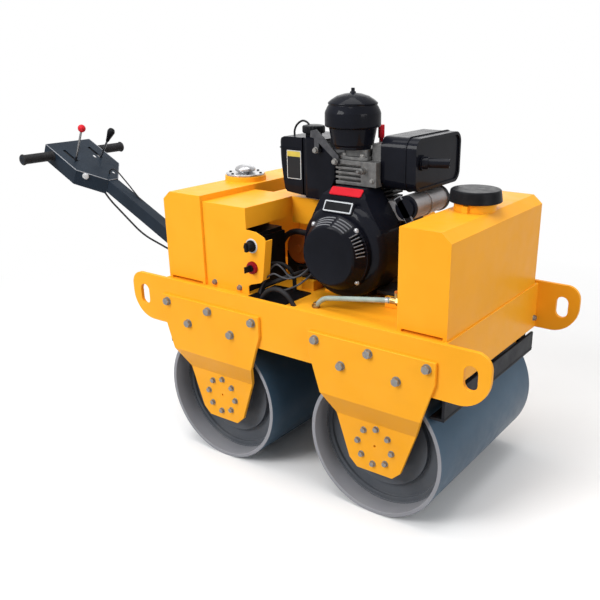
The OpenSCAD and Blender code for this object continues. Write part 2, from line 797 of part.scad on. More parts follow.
// bracket over the near corner of the fuel tank
module tank_strap() {
    y = head_y0;
    color(steel) at_mid() {
        along_y(y - 6, 6) polygon([[lobe_x + 38, ftank_z1 + 6], [lobe_x + 40, ftank_z1 + 24],
            [lobe_x + 58, ftank_z1 + 28], [head_x0 - 8, ftank_z1 - 18], [head_x0 + 14, ftank_z1 - 38],
            [head_x0 + 14, ftank_z1 - 62], [head_x0 - 4, ftank_z1 - 62], [head_x0 - 6, ftank_z1 - 44],
            [lobe_x + 68, ftank_z1 - 8], [lobe_x + 68, ftank_z1 - 36], [lobe_x + 52, ftank_z1 - 36],
            [lobe_x + 52, ftank_z1 + 4]]);
        rod_y(lobe_x + 60, ftank_z1 - 28, 7, y - 10, ftank_y0 - 6);
        rod_y(head_x0 + 5, ftank_z1 - 54, 7, y - 10, y);
    }
}

module engine_fuel_cap() {
    color(dark) at_mid() translate([lobe_x, -50, ftank_z1]) rotate_extrude()
        polygon([[0, 0], [24, 0], [24, 9], [30, 10], [32, 13], [32, 27], [30, 30], [18, 32], [0, 32]]);
}

module air_cleaner() {
    r = cleaner_r;
    color(dark) at_mid() translate([cleaner_x, cleaner_y, head_top]) rotate_extrude() polygon([[0, 0],
        [r - 27, 0],
        [r - 25, 8], [r - 19, 12], [r - 11, 56], [r - 1, 59], [r, 63], [r, 94], [r - 2, 100], [r - 7, 110],
        [r - 11, 116], [r - 9, 118], [r - 9, 121], [r - 17, 128], [r - 33, 138], [r - 53, 144], [8, 146],
        [8, 150], [5, 150], [5, 159], [0, 159]]);
}

module muffler() {
    color(dark) at_mid() {
        difference() {
            along_x(muf_x0, muf_x1 - muf_x0) rounded_outline(muf_y0, muf_y1, muf_z0, muf_z1, muf_r);
            along_x(muf_x1 - muf_rim, muf_rim + eps)
                rounded_outline(muf_y0 + 9, muf_y1 - 9, muf_z0 + 9, muf_z1 - 9, muf_r - 9);
        }
        along_x(muf_x1 - 34, 4) rounded_outline(muf_y0 - 3, muf_y1 + 3, muf_z0 - 3, muf_z1 + 3, muf_r + 3);
        rod_x(tail_y, tail_z, tail_r + 8, muf_x1 - muf_rim - eps, muf_x1 + 3);
        translate([muf_x1, tail_y, tail_z]) rotate([0, 0, tail_turn]) difference() {
            union() {
                rod_x(0, 0, tail_r, -2, tail_l);
                rod_x(0, 0, tail_r + 4, -2, tail_collar_l);
            }
            rod_x(0, 0, tail_r - 2, 10, tail_l + eps);
        }
    }
}

module starter_motor() {
    color(steel) at_mid() {
        rod_y(starter_x, starter_z, starter_r, starter_y0, starter_y1);
        rod_y(starter_x, starter_z, starter_r - 8, starter_y0 - 6, starter_y0 + eps);
        rod_y(starter_x, starter_z, starter_r + 2, 0, 8);
        rod_y(starter_x, starter_z, starter_r + 3, starter_y1 - eps, starter_y1 + 10);
        rod_y(starter_x - 40, starter_z - 16, 16, -60, 40);
        box(eng_x + 60, starter_x, block_y0, -40, block_top, starter_z + 10);
    }
}

module hydraulic_pump() {
    color(dark) at_mid() {
        box(pump_x - 65, pump_x + 30, pump_y0 + 26, guard_y0, deck_top, pump_z - 20);
        rod_y(pump_x, pump_z, pump_body_r, pump_y0 + 26, guard_y0);
        for (s = [-1, 1]) {
            translate([pump_x + 6 + s * 13, pump_y0 + 12, deck_top]) cylinder(r = 8, h = 34);
            translate([pump_x + 6 + s * 13, pump_y0 + 12, deck_top + 12]) cylinder(r = 11, h = 12, $fn = 6);
        }
        box(pump_x - 22, pump_x + 34, pump_y0 + 4, pump_y0 + 27, deck_top + 34 - eps, deck_top + 40);
    }
}

// painted round cover on the pump's near end
module pump_cover() {
    color([0.62, 0.24, 0.06]) at_mid() translate([pump_x, pump_y0 + 26, pump_z]) rotate([90, 0,
        0]) rotate_extrude()
        polygon([[0, 0], [pump_r, 0], [pump_r, 16], [pump_r - 4, 22], [pump_r - 12, 26], [16, 26], [14,
            30], [0, 30]]);
}

// water outlet and hose
water_y = -262;
water_z = beam_top + 62;
module water_valve() {
    color([0.72, 0.55, 0.25]) at_mid() {
        rod_x(water_y, water_z, 9, front_tank_x0 - 34, front_tank_x0);
        translate([front_tank_x0 - 18, water_y, water_z]) cylinder(r = 6, h = 22);
    }
}

hose_in = deck_top - 3;
water_route = [[front_tank_x0 - 30, water_y, water_z], [80, water_y, deck_top + 30], [68, water_y, hose_in]];
module water_hose() {
    color(water) at_mid() tube_on(bent_route(water_route, 58, 8), 7, 12);
}

loom_route = [[-150, -250, hose_in], [-136, -250, deck_top + 21], [-30, -225, deck_top + 71],
    [-64, -125, deck_top + 50], [24, -25, deck_top + 50]];
module wire_loom() {
    color(rubber) at_mid() tube_on(bent_route(loom_route, 58, 7), 7, 12);
}

// two hoses that arch out of the deck and back
arch_route = [[-168, -215, hose_in], [-168, -215, deck_top + 81], [-72, -180, deck_top + 81],
    [-72, -180, hose_in]];
edge_route = [[-108, -288, hose_in], [-49, -290, deck_top + 81], [10, -286, hose_in]];
module hydraulic_hoses() {
    color(rubber) at_mid() {
        tube_on(bent_route(arch_route, 50, 7), 6, 12);
        tube_on(bent_route(edge_route, 58, 10), 7, 12);
    }
}

elbow_route = [[pump_x - 56, pump_y0 - 17, hose_in], [pump_x - 56, pump_y0 - 17, pump_z + 63],
    [eng_x - blower_r + 4, pump_y0 - 20, pump_z + 59]];
module pump_hose() {
    color(rubber) at_mid() tube_on(bent_route(elbow_route, 76, 8), 9, 12);
}

vent_route = [[lobe_x - 70, -50, ftank_z1 - 4], [lobe_x - 71, -50, ftank_z1 + 10], [lobe_x - 62, -50,
    ftank_z1 + 28],
    [lobe_x - 42, -50, ftank_z1 + 41], [lobe_x - 24, -50, ftank_z1 + 38], [lobe_x - 12, -50,
        ftank_z1 + 27]];
module overflow_hose() {
    color(rubber) at_mid() tube_on(smooth_route(vent_route, 5), 3, 8);
}

// pivot bracket behind the rear crossbeam
module handle_bracket() {
    color(yellow) at_mid() {
        for (s = [0, 1]) {
            mirror([0, s, 0]) along_y(boom_w / 2 + cheek_gap, cheek_t) polygon([[-cross_x, beam_z0 + 10],
                [-cross_x, beam_top - 10], [-cross_x - 14, beam_top - 10], [pivot_x - 22, pivot_z + 24],
                [pivot_x - 60, pivot_z], [pivot_x - 58, pivot_z - 28], [pivot_x - 10, pivot_z - 40]]);
        }
        rod_y(pivot_x, pivot_z, pin_r, -pin_half, pin_half);
        rod_y(stop_x, stop_z, stop_r, -pin_half + 10, pin_half - 10);
    }
}

// drums
module drum_shell(x) {
    difference() {
        rod_y(x, axle_z, drum_d / 2, -half_w, half_w);
        rod_y(x, axle_z, shell_in, -half_w - eps, half_w + eps);
    }
}

module drum_heads(x) {
    difference() {
        union() {
            for (s = [0, 1]) {
                mirror([0, s, 0]) {
                    difference() {
                        rod_y(x, axle_z, shell_in, head_y, head_y + head_t + ring_t);
                        rod_y(x, axle_z, shell_in - ring_w, head_y + head_t, half_w);
                    }
                    rod_y(x, axle_z, hub_plate_r, head_y, head_y + head_t + hub_plate_t);
                    rod_y(x, axle_z, hub_r, head_y, hub_end_y);
                }
            }
            rod_y(x, axle_z, axle_tube_r, -head_y, head_y);
        }
        rod_y(x, axle_z, stub_r + stub_gap, -half_w, half_w);
    }
}

module front_drum_shell() {
    color(drum_grey) at_mid() drum_shell(axle_x);
}

module front_drum_heads() {
    color(drum_grey) at_mid() drum_heads(axle_x);
}

module rear_drum_shell() {
    color(drum_grey) at_mid() drum_shell(-axle_x);
}

module rear_drum_heads() {
    color(drum_grey) at_mid() drum_heads(-axle_x);
}

// handle
boom_wall = 4;
module handle_boom() {
    color(dark) on_handle() difference() {
        union() {
            box(console_front - 20, 0, -boom_w / 2, boom_w / 2, -boom_h / 2, boom_h / 2);
            rod_y(0, 0, boom_h / 2, -boom_w / 2, boom_w / 2);
        }
        rod_y(0, 0, pin_r + pin_gap, -boom_w, boom_w);
        box(console_front - 30, -60, -boom_w / 2 + boom_wall, boom_w / 2 - boom_wall,
            -boom_h / 2 + boom_wall, boom_h / 2 - boom_wall);
    }
}

module console_outline(inset) {
    half = console_w / 2 - inset;
    tip = boom_w / 2 + 0.4;
    polygon([[console_rear + inset, -half], [console_front, -half], [console_tip - inset, -tip],
        [console_tip - inset, tip], [console_front, half], [console_rear + inset, half]]);
}

module control_console() {
    color(dark) on_handle() {
        difference() {
            translate([0, 0, console_top - console_h]) linear_extrude(console_h) console_outline(0);
            translate([0, 0, console_top - console_h - eps]) linear_extrude(console_h - sheet_t + eps)
                console_outline(sheet_t);
            box(console_front - 20, console_tip + eps, -boom_w / 2, boom_w / 2,
                console_top - console_h - eps,
                boom_h / 2);
            for (s = [-1, 1]) {
                box(lever_x - 72, lever_x + 8, s * lever_y - 6, s * lever_y + 6, console_top - 2 * sheet_t,
                    console_top + eps);
            }
            rod_y(bar_x, bar_z, bar_r, -console_w, console_w);
        }
        for (s = [-1, 1]) {
            box(console_front - 6, console_front + 24, s * (boom_w / 2 + 4) - 4, s * (boom_w / 2 + 4) + 4,
                console_top - console_h - 18, console_top - sheet_t);
        }
    }
}

module handlebar() {
    color(dark) on_handle() rod_y(bar_x, bar_z, bar_r, -bar_l / 2, bar_l / 2);
}

module hand_grips() {
    color(rubber) on_handle() for (s = [0, 1]) {
        mirror([0, s, 0]) difference() {
            union() {
                rod_y(bar_x, bar_z, grip_r, console_w / 2, bar_l / 2);
                rod_y(bar_x, bar_z, grip_r + 4, console_w / 2, console_w / 2 + 12);
            }
            rod_y(bar_x, bar_z, bar_r, console_w / 2 - eps, bar_l / 2 + eps);
        }
    }
}

module drive_lever() {
    color(steel) on_handle() translate([lever_x, -lever_y, 0]) {
        translate([0, 0, console_top - 20]) cylinder(r = lever_r, h = 146);
        box(-18, 18, -14, 14, console_top - sheet_t - 14, console_top - sheet_t);
        translate([0, 0, console_top + 133]) sphere(r = knob_r);
    }
}

module throttle_lever() {
    color(dark) on_handle() translate([lever_x, lever_y, 0]) {
        translate([0, 0, console_top - 12]) rotate([0, 12, 0]) {
            cylinder(r = lever_r, h = 112);
            translate([0, 0, 94]) rotate_extrude() polygon([[0, 0], [6, 0], [8, 14], [12, 34], [14, 46],
                [11, 55], [0, 60]]);
        }
        box(-18, 18, -14, 14, console_top - sheet_t - 14, console_top - sheet_t);
    }
}

cable_y = -14;
cable_route = [[-640, cable_y, -boom_h / 2 + 3], [-580, cable_y, -48], [-370, cable_y, -74],
    [-110, cable_y, -boom_h / 2 + 3]];
module throttle_cable() {
    color(rubber) on_handle() tube_on(bent_route(cable_route, 300, 8), 3.5, 10);
}

wire_route = [[console_tip - 40, 12, console_top - 2], [console_tip - 38, 12, 44], [console_tip - 14, 14,
    57],
    [console_tip + 48, 16, 44], [console_tip + 112, 14, 30], [console_tip + 150, 12, boom_h / 2 - 1]];
module console_wire() {
    color(rubber) on_handle() tube_on(smooth_route(wire_route, 6), 2.5, 8);
}

side_beam_right();
side_beam_left();
front_crossbeam();
rear_crossbeam();
deck_plate();
leg_front_right();
leg_front_left();
leg_rear_right();
leg_rear_left();
front_hubs();
rear_hubs();
front_scraper();
rear_scraper();
sprinkler_pipes();
front_tank();
front_tank_cap();
rear_tank();
rear_tank_cap();
control_box();
control_switches();
battery();
pump_hood();
belt_guard();
engine_rails();
engine_block();
engine_cylinder();
cylinder_head();
head_cover();
oil_cap();
blower_housing();
recoil_cover();
engine_fuel_tank();
engine_fuel_cap();
tank_strap();
air_cleaner();
muffler();
starter_motor();
pump_cover();
hydraulic_pump();
water_valve();
water_hose();
wire_loom();
hydraulic_hoses();
pump_hose();
overflow_hose();
handle_bracket();
front_drum_shell();
front_drum_heads();
rear_drum_shell();
rear_drum_heads();
handle_boom();
control_console();
handlebar();
hand_grips();
drive_lever();
throttle_lever();
throttle_cable();
console_wire();
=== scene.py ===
import json
import math
import bpy
import numpy as np
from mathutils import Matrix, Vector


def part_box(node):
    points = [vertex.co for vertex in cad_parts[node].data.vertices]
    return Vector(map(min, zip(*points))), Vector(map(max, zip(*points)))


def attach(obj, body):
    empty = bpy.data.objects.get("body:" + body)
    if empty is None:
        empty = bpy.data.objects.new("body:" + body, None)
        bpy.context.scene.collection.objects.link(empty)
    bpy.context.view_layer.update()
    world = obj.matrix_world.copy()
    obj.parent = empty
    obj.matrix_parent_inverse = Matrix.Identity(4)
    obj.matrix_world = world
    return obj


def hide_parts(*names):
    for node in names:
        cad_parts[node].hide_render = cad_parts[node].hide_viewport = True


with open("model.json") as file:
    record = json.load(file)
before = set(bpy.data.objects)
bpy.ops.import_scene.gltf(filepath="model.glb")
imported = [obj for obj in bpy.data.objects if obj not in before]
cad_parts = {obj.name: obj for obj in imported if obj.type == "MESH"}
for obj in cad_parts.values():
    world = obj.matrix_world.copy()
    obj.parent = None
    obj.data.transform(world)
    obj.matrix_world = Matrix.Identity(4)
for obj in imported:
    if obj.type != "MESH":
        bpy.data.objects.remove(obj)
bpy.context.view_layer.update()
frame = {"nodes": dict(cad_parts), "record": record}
nodes = frame["nodes"]
scene = bpy.context.scene
beamLow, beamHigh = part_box("side_beam_right")
midX = (beamLow[0] + beamHigh[0]) / 2    # middle of the wheelbase, where all lengths below start

place = {"pivot": (-559.5, 0.0, 490.0), "handleAngle": 26.3, "axleX": 286.5, "axleZ": 212.5,
         "legFace": 330.0, "legLow": 293.0, "deckTop": 569.0, "leverY": 56}
axles = {"front": place["axleX"], "rear": -place["axleX"]}
sides = {"right": -1, "left": 1}


def onFrame(points):    # millimetres from the wheelbase middle, as metres in the shared frame
    return np.asarray(points, float) / 1000 + np.array([midX, 0, 0])


def handleWay(v):    # a direction of the handle's own level frame, turned up with it
    v = np.asarray(v, float)
    a = math.radians(place["handleAngle"])
    return np.stack([v[..., 0] * math.cos(a) + v[..., 2] * math.sin(a), v[..., 1],
                     v[..., 2] * math.cos(a) - v[..., 0] * math.sin(a)], axis=-1)


def onHandle(points):    # the handle's own level frame, turned up about the pivot
    return onFrame(handleWay(points) + np.array(place["pivot"]))


def unit(v):    # the same direction with a length of 1
    return np.asarray(v, float) / np.linalg.norm(v)


onBody = {"frame": onFrame, "handle": onHandle}


print("node helpers")


def noiseOf(nt, coords, scale, detail=4.0, rough=0.55):
    n = nt.nodes.new("ShaderNodeTexNoise")
    n.inputs["Scale"].default_value = scale
    n.inputs["Detail"].default_value = detail
    n.inputs["Roughness"].default_value = rough
    nt.links.new(coords, n.inputs["Vector"])
    return n.outputs["Fac"]


def rampOf(nt, value, span, low, high):    # colour going from low to high over the span
    r = nt.nodes.new("ShaderNodeValToRGB")
    for stop, at, colour in zip(r.color_ramp.elements, span, (low, high)):
        stop.position = at
        stop.color = (*colour, 1)
    nt.links.new(value, r.inputs[0])
    return r.outputs["Color"]


def spanOf(nt, value, span, outLow, outHigh):    # straight line from a span to two values, held at the ends
    m = nt.nodes.new("ShaderNodeMapRange")
    for i, v in enumerate((*span, outLow, outHigh)):
        m.inputs[i + 1].default_value = v
    nt.links.new(value, m.inputs[0])
    return m.outputs[0]


def mathOf(nt, how, a, b):
    m = nt.nodes.new("ShaderNodeMath")
    m.operation = how
    for i, v in enumerate((a, b)):
        if isinstance(v, (int, float)):
            m.inputs[i].default_value = v
        else:
            nt.links.new(v, m.inputs[i])
    return m.outputs[0]


def mixOf(nt, fac, a, b):
    m = nt.nodes.new("ShaderNodeMix")
    m.data_type = "RGBA"
    nt.links.new(fac, m.inputs["Factor"])
    for socket, v in ((m.inputs[6], a), (m.inputs[7], b)):
        if isinstance(v, tuple):
            socket.default_value = (*v, 1)
        else:
            nt.links.new(v, socket)
    return m.outputs[2]


def blendOf(nt, fac, a, b):    # shader a where fac is 0, shader b where it is 1
    m = nt.nodes.new("ShaderNodeMixShader")
    for i, socket in enumerate((fac, a, b)):
        nt.links.new(socket, m.inputs[i])
    return m.outputs[0]


def bumpOf(nt, shader, height, strength, distance):
    b = nt.nodes.new("ShaderNodeBump")
    b.inputs["Strength"].default_value = strength
    b.inputs["Distance"].default_value = distance
    nt.links.new(height, b.inputs["Height"])
    nt.links.new(b.outputs[0], shader.inputs["Normal"])


def axisOf(nt, coords, axis):
    s = nt.nodes.new("ShaderNodeSeparateXYZ")
    nt.links.new(coords, s.inputs[0])
    return s.outputs[axis]


def distanceTo(nt, coords, centre):
    v = nt.nodes.new("ShaderNodeVectorMath")
    v.operation = "DISTANCE"
    nt.links.new(coords, v.inputs[0])
    v.inputs[1].default_value = [float(c) for c in centre]
    return v.outputs["Value"]


def seenDirect(nt):    # 1 for rays from the camera, off shiny pieces or through clear ones
    path = nt.nodes.new("ShaderNodeLightPath")
    shiny = mathOf(nt, "MAXIMUM", path.outputs["Is Camera Ray"], path.outputs["Is Glossy Ray"])
    return mathOf(nt, "MAXIMUM", shiny, path.outputs["Is Transmission Ray"])


print("camera and light")
shot = {"azimuth": 34.5005, "elevation": 21.1906, "distance": 2.38167, "target": (0.36154, 0.0, 0.400),
        "sensor": 36, "lens": 44.88, "shiftX": -0.0819, "shiftY": 0.0514, "reach": 60}
camData = bpy.data.cameras.new("camera")
cam = bpy.data.objects.new("camera", camData)
scene.collection.objects.link(cam)
az, el = math.radians(shot["azimuth"]), math.radians(shot["elevation"])
cam.location = [shot["target"][0] + shot["distance"] * math.cos(el) * math.sin(az),
                shot["target"][1] - shot["distance"] * math.cos(el) * math.cos(az),
                shot["target"][2] + shot["distance"] * math.sin(el)]
cam.rotation_euler = (math.pi / 2 - el, 0, az)
camData.sensor_width = shot["sensor"]
camData.lens = shot["lens"]
camData.shift_x, camData.shift_y = shot["shiftX"], shot["shiftY"]
camData.clip_end = shot["reach"]
scene.camera = cam
scene.view_settings.view_transform = "Standard"

lamps = {"key": {"at": (-1.2, -4.0, 3.2), "aim": (0.2, 0, 0.4), "size": 2.2, "watts": 175},
         "top": {"at": (0.2, -0.3, 4.4), "aim": (0.3, 0, 0.4), "size": 3.2, "watts": 118},
         "front": {"at": (4.6, -0.9, 1.8), "aim": (0.4, 0, 0.5), "size": 2.0, "watts": 58},
         "back": {"at": (-1.9, 3.6, 2.6), "aim": (0.3, 0, 0.7), "size": 2.6, "watts": 18}}
for name, lamp in lamps.items():
    data = bpy.data.lights.new(name, "AREA")
    data.energy, data.size = lamp["watts"], lamp["size"]
    obj = bpy.data.objects.new(name, data)
    scene.collection.objects.link(obj)
    obj.location = lamp["at"]
    way = np.array(lamp["aim"]) - np.array(lamp["at"])
    tilt = math.pi / 2 + math.atan2(way[2], math.hypot(way[0], way[1]))
    obj.rotation_euler = (tilt, 0, math.atan2(way[1], way[0]) - math.pi / 2)

sky = {"ambient": 0.42, "seen": 1.0}    # matte light on the machine, and the white that is looked at
world = bpy.data.worlds.new("studio")
scene.world = world
world.use_nodes = True
nt = world.node_tree
nt.nodes.clear()
skies = []
for level in (sky["ambient"], sky["seen"]):
    back = nt.nodes.new("ShaderNodeBackground")
    back.inputs["Color"].default_value = (1, 1, 1, 1)
    back.inputs["Strength"].default_value = level
    skies.append(back.outputs[0])
out = nt.nodes.new("ShaderNodeOutputWorld")
nt.links.new(blendOf(nt, seenDirect(nt), *skies), out.inputs[0])


print("mesh helpers")


def makeMesh(name, verts, quads, caps):    # whole arrays of vertices, four-sided faces and end caps
    mesh = bpy.data.meshes.new(name)
    verts = np.asarray(verts, np.float32).reshape(-1, 3)
    parts = [np.asarray(p, np.int32) for p in (quads, caps) if len(p)]
    loops = np.concatenate([p.ravel() for p in parts])
    counts = np.concatenate([np.full(len(p), p.shape[1]) for p in parts])
    starts = np.concatenate([[0], np.cumsum(counts)[:-1]]).astype(np.int32)
    mesh.vertices.add(len(verts))
    mesh.vertices.foreach_set("co", verts.ravel())
    mesh.loops.add(len(loops))
    mesh.loops.foreach_set("vertex_index", loops)
    mesh.polygons.add(len(starts))
    mesh.polygons.foreach_set("loop_start", starts)
    mesh.update(calc_edges=True)
    mesh.polygons.foreach_set("use_smooth", np.ones(len(starts), bool))
    return mesh


def addPiece(name, mesh, material, body, sharp=34):
    mesh.set_sharp_from_angle(angle=math.radians(sharp))
    obj = bpy.data.objects.new(name, mesh)
    scene.collection.objects.link(obj)
    mesh.materials.append(material)
    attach(obj, body)
    return obj


def stackPiece(name, rings, material, body):
    # m stacks of k closed rings with n points each, joined ring to ring and capped at both ends
    rings = np.asarray(rings)
    m, k, n = (1, *rings.shape[:-1])[-3:]
    idx = np.arange(m * k * n).reshape(m, k, n)
    nxt = np.roll(idx, -1, axis=2)
    quads = np.stack([idx[:, :-1], nxt[:, :-1], nxt[:, 1:], idx[:, 1:]], axis=-1).reshape(-1, 4)
    caps = np.concatenate([idx[:, 0, ::-1], idx[:, -1]])
    return addPiece(name, makeMesh(name, rings, quads, caps), material, body)


def loopFaces(m, k, n):    # m rings, each k sections of n points, closed both ways like a tyre
    idx = np.arange(m * k * n).reshape(m, k, n)
    nxt, far = np.roll(idx, -1, axis=2), np.roll(idx, -1, axis=1)
    return np.stack([idx, nxt, np.roll(far, -1, axis=2), far], axis=-1).reshape(-1, 4)


def basisFor(axis, turn=0.0):    # two side vectors and the axis, turned about the axis
    z = unit(axis)
    x = unit(np.cross((0, 0, 1) if abs(z[2]) < 0.9 else (1, 0, 0), z))
    y = np.cross(z, x)
    c, s = math.cos(turn), math.sin(turn)
    return np.stack([c * x + s * y, c * y - s * x, z])


def turnedRings(profile, count, spots, hexed=None, lobes=None):
    # rows of radius and height carried round an axis, at all spots at once:
    # point = centre + r(angle) * side + h * axis
    prof = np.asarray(profile, float) / 1000
    angle = np.linspace(0, 2 * math.pi, count, endpoint=False)
    r = np.repeat(prof[:, :1], count, axis=1)
    if hexed is not None:    # rows marked 1 follow a hexagon whose half width across flats is r
        hexR = 1 / np.cos(np.mod(angle, math.pi / 3) - math.pi / 6)
        mark = np.asarray(hexed, float)[:, None]
        r = r * (1 - mark + mark * hexR[None, :])
    if lobes is not None:    # rows marked get a wave round the rim
        mark = np.asarray(lobes["rows"], float)[:, None]
        r = r * (1 - lobes["depth"] * mark * (0.5 - 0.5 * np.cos(lobes["count"] * angle))[None, :])
    height = np.repeat(prof[:, 1:], count, axis=1)
    local = np.stack([r * np.cos(angle), r * np.sin(angle), height], axis=-1)
    bases = np.stack([s[1] for s in spots])
    middles = np.stack([s[0] for s in spots])
    return np.einsum("knj,mji->mkni", local, bases) + middles[:, None, None, :]


def spotsOn(points, axis, spread=0.7):    # each point gets the axis and its own turn
    return [(p, basisFor(axis, spread * i)) for i, p in enumerate(np.atleast_2d(points))]


def smoothRoute(points, steps):    # curve through every point, each stretch a cubic eased by its neighbours
    p = np.asarray(points, float)
    q = np.concatenate([p[:1], p, p[-1:]])
    t = (np.arange(steps) / steps)[None, :, None]
    a, b, c, d = (q[i:len(q) - 3 + i][:, None, :] for i in range(4))
    bend, twist = 2 * a - 5 * b + 4 * c - d, 3 * b - a - 3 * c + d
    curve = 0.5 * (2 * b + (c - a) * t + bend * t ** 2 + twist * t ** 3)
    return np.concatenate([curve.reshape(-1, 3), p[-1:]])


def bentRoute(points, radius, steps=40):    # straight runs joined by arcs of one radius at the corners
    p = np.asarray(points, float)
    pieces = [p[:1]]
    for a, b, c in zip(p[:-2], p[1:-1], p[2:]):
        u, v = unit(a - b), unit(c - b)
        half = math.acos(float(u @ v)) / 2
        mid = b + unit(u + v) * radius / math.sin(half)
        e = (b + u * radius / math.tan(half) - mid) / radius
        t = np.linspace(0, math.pi - 2 * half, steps)[:, None]
        pieces.append(mid + radius * (np.cos(t) * e - np.sin(t) * u))
    return np.concatenate(pieces + [p[-1:]])


def evenSteps(path, step):    # the same line with points the same distance apart
    run = np.concatenate([[0], np.cumsum(np.linalg.norm(np.diff(path, axis=0), axis=1))])
    at = np.linspace(0, run[-1], int(run[-1] / step) + 2)
    return np.stack([np.interp(at, run, path[:, i]) for i in range(3)], axis=1)


def tubeRings(path, radius, count):    # circles carried along a path: centre + r * (cos * side + sin * up)
    p = np.asarray(path, float)
    way = np.gradient(p, axis=0)
    way /= np.linalg.norm(way, axis=1, keepdims=True)
    ref = np.where(np.abs(way[:, 1:2]) > 0.9, np.array([[1.0, 0, 0]]), np.array([[0, 1.0, 0]]))
    side = np.cross(ref, way)
    side /= np.linalg.norm(side, axis=1, keepdims=True)
    up = np.cross(way, side)
    angle = np.linspace(0, 2 * math.pi, count, endpoint=False)[None, :, None]
    return p[:, None, :] + radius * (np.cos(angle) * side[:, None, :] + np.sin(angle) * up[:, None, :])


print("materials")


def newMaterial(name):
    mat = bpy.data.materials.new(name)
    mat.use_nodes = True
    nt = mat.node_tree
    nt.nodes.clear()
    out = nt.nodes.new("ShaderNodeOutputMaterial")
    coords = nt.nodes.new("ShaderNodeTexCoord")
    return mat, nt, out, coords.outputs["Object"]


paintGrain = {"cloudDetail": 3.0, "cloudSpan": (0.3, 0.7), "scuff": (95.0, 6.0, 0.7),
              "scuffSpan": (0.66, 0.78), "scuffRough": 0.2, "dust": (14.0, 5.0, 0.65),
              "dustSpan": (0.42, 0.72), "gloss": (26.0, 5.0), "glossSpan": (0.3, 0.7),
              "peelDetail": 2.0, "peelDepth": 0.0006}


def paintShader(nt, coords, look):    # sprayed paint: uneven film, orange-peel bump, scuffs, dust low down
    g = paintGrain
    shader = nt.nodes.new("ShaderNodeBsdfPrincipled")
    cloud = noiseOf(nt, coords, look["cloudScale"], g["cloudDetail"])
    colour = rampOf(nt, cloud, g["cloudSpan"], look["low"], look["high"])
    marks = spanOf(nt, noiseOf(nt, coords, *g["scuff"]), g["scuffSpan"], 0.0, look["scuffs"])
    colour = mixOf(nt, marks, colour, look["scuffColour"])
    lowDown = spanOf(nt, axisOf(nt, coords, "Z"), (look["dustTop"], 0.0), 0.0, 1.0)
    patches = spanOf(nt, noiseOf(nt, coords, *g["dust"]), g["dustSpan"], 0.0, look["dust"])
    dirt = mathOf(nt, "MULTIPLY", lowDown, patches)
    nt.links.new(mixOf(nt, dirt, colour, look["dustColour"]), shader.inputs["Base Color"])
    rough = spanOf(nt, noiseOf(nt, coords, *g["gloss"]), g["glossSpan"], *look["rough"])
    worn = mathOf(nt, "MULTIPLY", marks, g["scuffRough"])
    nt.links.new(mathOf(nt, "ADD", rough, worn), shader.inputs["Roughness"])
    shader.inputs["Specular IOR Level"].default_value = look["shine"]
    shader.inputs["Coat Weight"].default_value = look["coat"]
    shader.inputs["Coat Roughness"].default_value = look["coatRough"]
    bumpOf(nt, shader, noiseOf(nt, coords, look["peelScale"], g["peelDetail"]), look["peel"], g["peelDepth"])
    return shader


metalGrain = {"grain": (5.0, 0.6), "toneSpan": (0.25, 0.75), "stain": (60.0, 6.0, 0.7),
              "stainSpan": (0.62, 0.8), "glossSpan": (0.2, 0.8), "bumpDetail": 4.0, "bumpDepth": 0.0008}


def metalShader(nt, coords, look):    # bare or plated metal: fine streaks along one axis, stains, worn gloss
    g = metalGrain
    shader = nt.nodes.new("ShaderNodeBsdfPrincipled")
    mapping = nt.nodes.new("ShaderNodeMapping")
    mapping.inputs["Scale"].default_value = look["streak"]
    nt.links.new(coords, mapping.inputs["Vector"])
    grain = noiseOf(nt, mapping.outputs[0], look["grainScale"], *g["grain"])
    colour = rampOf(nt, grain, g["toneSpan"], look["low"], look["high"])
    spots = spanOf(nt, noiseOf(nt, coords, *g["stain"]), g["stainSpan"], 0.0, look["stain"])
    nt.links.new(mixOf(nt, spots, colour, look["stainColour"]), shader.inputs["Base Color"])
    shader.inputs["Metallic"].default_value = look["metal"]
    nt.links.new(spanOf(nt, grain, g["glossSpan"], *look["rough"]), shader.inputs["Roughness"])
    bumpOf(nt, shader, noiseOf(nt, coords, look["bumpScale"], g["bumpDetail"]), look["bump"], g["bumpDepth"])
    return shader


rubberGrain = {"tone": (30.0, 5.0, 0.6), "toneSpan": (0.3, 0.72), "gloss": (55.0, 4.0),
               "glossSpan": (0.3, 0.7), "bumpDetail": 3.0, "bumpDepth": 0.0004}


def rubberShader(nt, coords, look):    # moulded rubber or plastic: fine grain, soft wear
    g = rubberGrain
    shader = nt.nodes.new("ShaderNodeBsdfPrincipled")
    colour = rampOf(nt, noiseOf(nt, coords, *g["tone"]), g["toneSpan"], look["low"], look["high"])
    nt.links.new(colour, shader.inputs["Base Color"])
    rough = spanOf(nt, noiseOf(nt, coords, *g["gloss"]), g["glossSpan"], *look["rough"])
    nt.links.new(rough, shader.inputs["Roughness"])
    shader.inputs["Specular IOR Level"].default_value = look["shine"]
    bumpOf(nt, shader, noiseOf(nt, coords, look["grainScale"], g["bumpDetail"]), look["bump"], g["bumpDepth"])
    return shader


def oneFinish(name, build, look):
    mat, nt, out, coords = newMaterial(name)
    nt.links.new(build(nt, coords, look).outputs[0], out.inputs[0])
    return mat


def layeredFinish(name, base, *layers):    # each further finish shows where its own mask is 1
    mat, nt, out, coords = newMaterial(name)
    top = base[0](nt, coords, base[1]).outputs[0]
    for build, look, mask in layers:
        top = blendOf(nt, mask(nt, coords), top, build(nt, coords, look).outputs[0])
    nt.links.new(top, out.inputs[0])
    return mat


maskEdge = 0.0005    # metres over which one finish gives way to the next


def nearPoint(centre, radius):    # mask: 1 inside a ball
    def build(nt, coords):
        return spanOf(nt, distanceTo(nt, coords, centre), (radius, radius + maskEdge), 1.0, 0.0)
    return build


